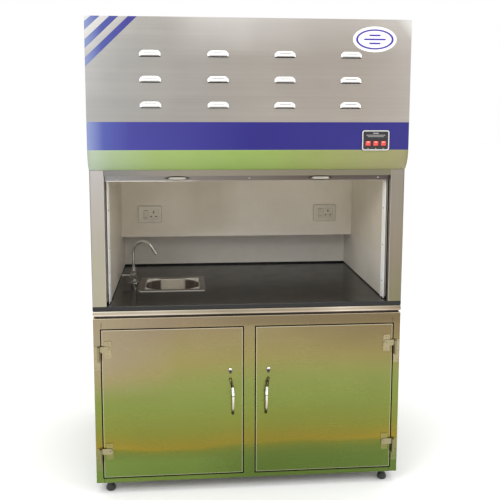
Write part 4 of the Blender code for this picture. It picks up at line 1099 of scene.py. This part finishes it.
# ---------------------------------------------------------------- base cabinet
def cabinet_details():
    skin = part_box("cabinet_face_frame")[0].y
    for side, sign in SIDES:
        seam = sign * 0.6402
        seams = [
            slab((seam - 0.0011, skin - 0.0002, low), (seam + 0.0011, skin + 0.0003, high))
            for low, high in ((0.7530, 0.7760), (0.0520, 0.0680))
        ]
        piece(f"{side}_frame_seams", join(*seams), "seam_shadow", "hood")

        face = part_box(f"{side}_door")[0].y
        x = sign * 0.084
        drop = [(x + 0.0095 * cos(k * pi / 12), 0.5535 + 0.0085 * sin(k * pi / 12)) for k in range(13)]
        drop += [(x - 0.0075, 0.5460), (x - 0.0030, 0.5350), (x + 0.0030, 0.5350), (x + 0.0075, 0.5460)]
        # The drop-shaped cover gets lock_chrome's painted highlight on top and painted shade below.
        cover = prism(drop, face - 0.0012, face - 0.0001)
        piece(f"{side}_lock_cover", cover, "lock_chrome", f"{side}_door", bevel=0.0003)
        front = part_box(f"{side}_door_lock")[0].y
        # The dark slot is painted shade in the keyway.
        slot = slab((x - 0.0006, front - 0.00025, 0.5490), (x + 0.0006, front + 0.0006, 0.5560))
        profile = [(0.0046, 0.0), (0.0046, 0.0006), (0.0054, 0.0006), (0.0054, 0.0), (0.0046, 0.0)]
        rim = turned(profile, facing((x, front, 0.553), (0, -1, 0)), 24)
        piece(f"{side}_lock_keyway", join(slot, rim), "dark_plastic", f"{side}_lock")

        for level in ("upper", "lower"):
            frame_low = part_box(f"{side}_{level}_frame_hinge_leaf")[0].z
            door_low, door_high = (corner.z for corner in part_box(f"{side}_{level}_door_hinge_leaf"))
            rows = (
                ("frame_leaf_screws", "hood", 0.6662, 0.0023, (frame_low + 0.010, frame_low + 0.052)),
                ("door_leaf_screws", f"{side}_door", 0.6135, 0.0030, (door_low + 0.009, door_high - 0.010)),
                ("strap_screw", f"{side}_door", 0.6110, 0.0065, (frame_low + 0.093,)),
            )
            for name, body, x, out, heights in rows:
                points = [(sign * x, skin - out, z) for z in heights]
                radius = 0.0030 if name == "strap_screw" else 0.0024
                screws(f"{side}_{level}_{name}", body, points, (0, -1, 0), radius, "hinge_screw")


def collar_details():
    circle, top = 0.111, 2.0615
    head = [(0.0045, 0.0), (0.0045, 0.003), (0.0038, 0.0036), (0.0, 0.0036)]
    bolts = []
    for k in range(8):
        angle = 2 * pi * (k + 0.5) / 8
        place = (FAN_AXIS[0] + circle * cos(angle), FAN_AXIS[1] + circle * sin(angle), top)
        bolts.append(turned(head, Matrix.Translation(place), 6))
    piece("collar_bolts", join(*bolts), "screw_steel", "hood")


# ---------------------------------------------------------------- stage, light and camera
def stage():
    shape = bmesh.new()
    bmesh.ops.create_circle(shape, cap_ends=True, segments=96, radius=40)
    mesh = bpy.data.meshes.new("studio_floor")
    shape.to_mesh(mesh)
    shape.free()
    mesh.materials.append(floor_paint())
    ground = bpy.data.objects.new("studio_floor", mesh)
    ground.location = (0, 0, -0.0005)
    bpy.context.scene.collection.objects.link(ground)


def softbox(name, place, aim, size, power):
    data = bpy.data.lights.new(name, "AREA")
    data.shape = "RECTANGLE"
    data.size, data.size_y = size
    data.energy = power
    light = bpy.data.objects.new(name, data)
    light.location = place
    light.rotation_euler = (Vector(aim) - Vector(place)).to_track_quat("-Z", "Y").to_euler()
    bpy.context.scene.collection.objects.link(light)


def room():
    """An even white studio, a little darker towards the front so that bright metal has something to show."""
    world = bpy.data.worlds.new("studio")
    bpy.context.scene.world = world
    g = Wiring(world, "Generated")
    heights = [(0.0, 0.5), (0.46, 0.6), (0.52, 0.66), (0.62, 0.78), (0.75, 1.4), (1.0, 1.7)]
    sides = [(0.0, 0.9), (0.16, 0.45), (0.30, 0.95), (0.5, 1.0), (0.72, 0.9), (0.84, 0.4), (1.0, 0.85)]
    depths = [(0.0, 0.0), (0.44, 0.0), (0.56, 1.0), (1.0, 1.0)]
    up, across, behind = [
        g.ramp(g.spread(axis, -1, 1), stops, grey)
        for axis, stops in ((g.z, heights), (g.x, sides), (g.y, depths))
    ]
    whole = g.mix(behind, g.mix(1.0, up, across, "MULTIPLY"), grey(1))
    g.put(g.tree.nodes["Background"], "Color", whole)


def camera():
    yaw, pitch, roll = 0.0895, -0.1223, 0.0021
    ahead = Vector((sin(yaw) * cos(pitch), cos(yaw) * cos(pitch), sin(pitch)))
    right = Vector((cos(yaw), -sin(yaw), 0))
    up = right.cross(ahead)
    turned_right = right * cos(roll) + up * sin(roll)
    turned_up = up * cos(roll) - right * sin(roll)
    data = bpy.data.cameras.new("camera")
    data.sensor_width = 36
    data.lens = 52.40
    data.shift_y = -0.0925
    made = bpy.data.objects.new("camera", data)
    basis = Matrix((turned_right, turned_up, -ahead)).transposed().to_4x4()
    made.matrix_world = Matrix.Translation((-0.2757, -3.5177, 1.6673)) @ basis
    bpy.context.scene.collection.objects.link(made)
    bpy.context.scene.camera = made


camera()
stage()
room()
softbox("key", (-2.6, -3.4, 3.4), (0, 0, 1.1), (2.2, 1.6), 55)
softbox("fill", (2.8, -2.6, 2.2), (0, 0, 1.0), (1.8, 1.8), 22)
softbox("overhead", (0.2, -0.6, 4.2), (0, 0, 1.0), (2.4, 1.6), 30)
bpy.context.scene.view_settings.view_transform = "Standard"

dress_nodes()
canopy_details()
badge()
control_details()
socket_details()
chamber_details()
sink_details()
tap_details()
sash_details()
cabinet_details()
collar_details()
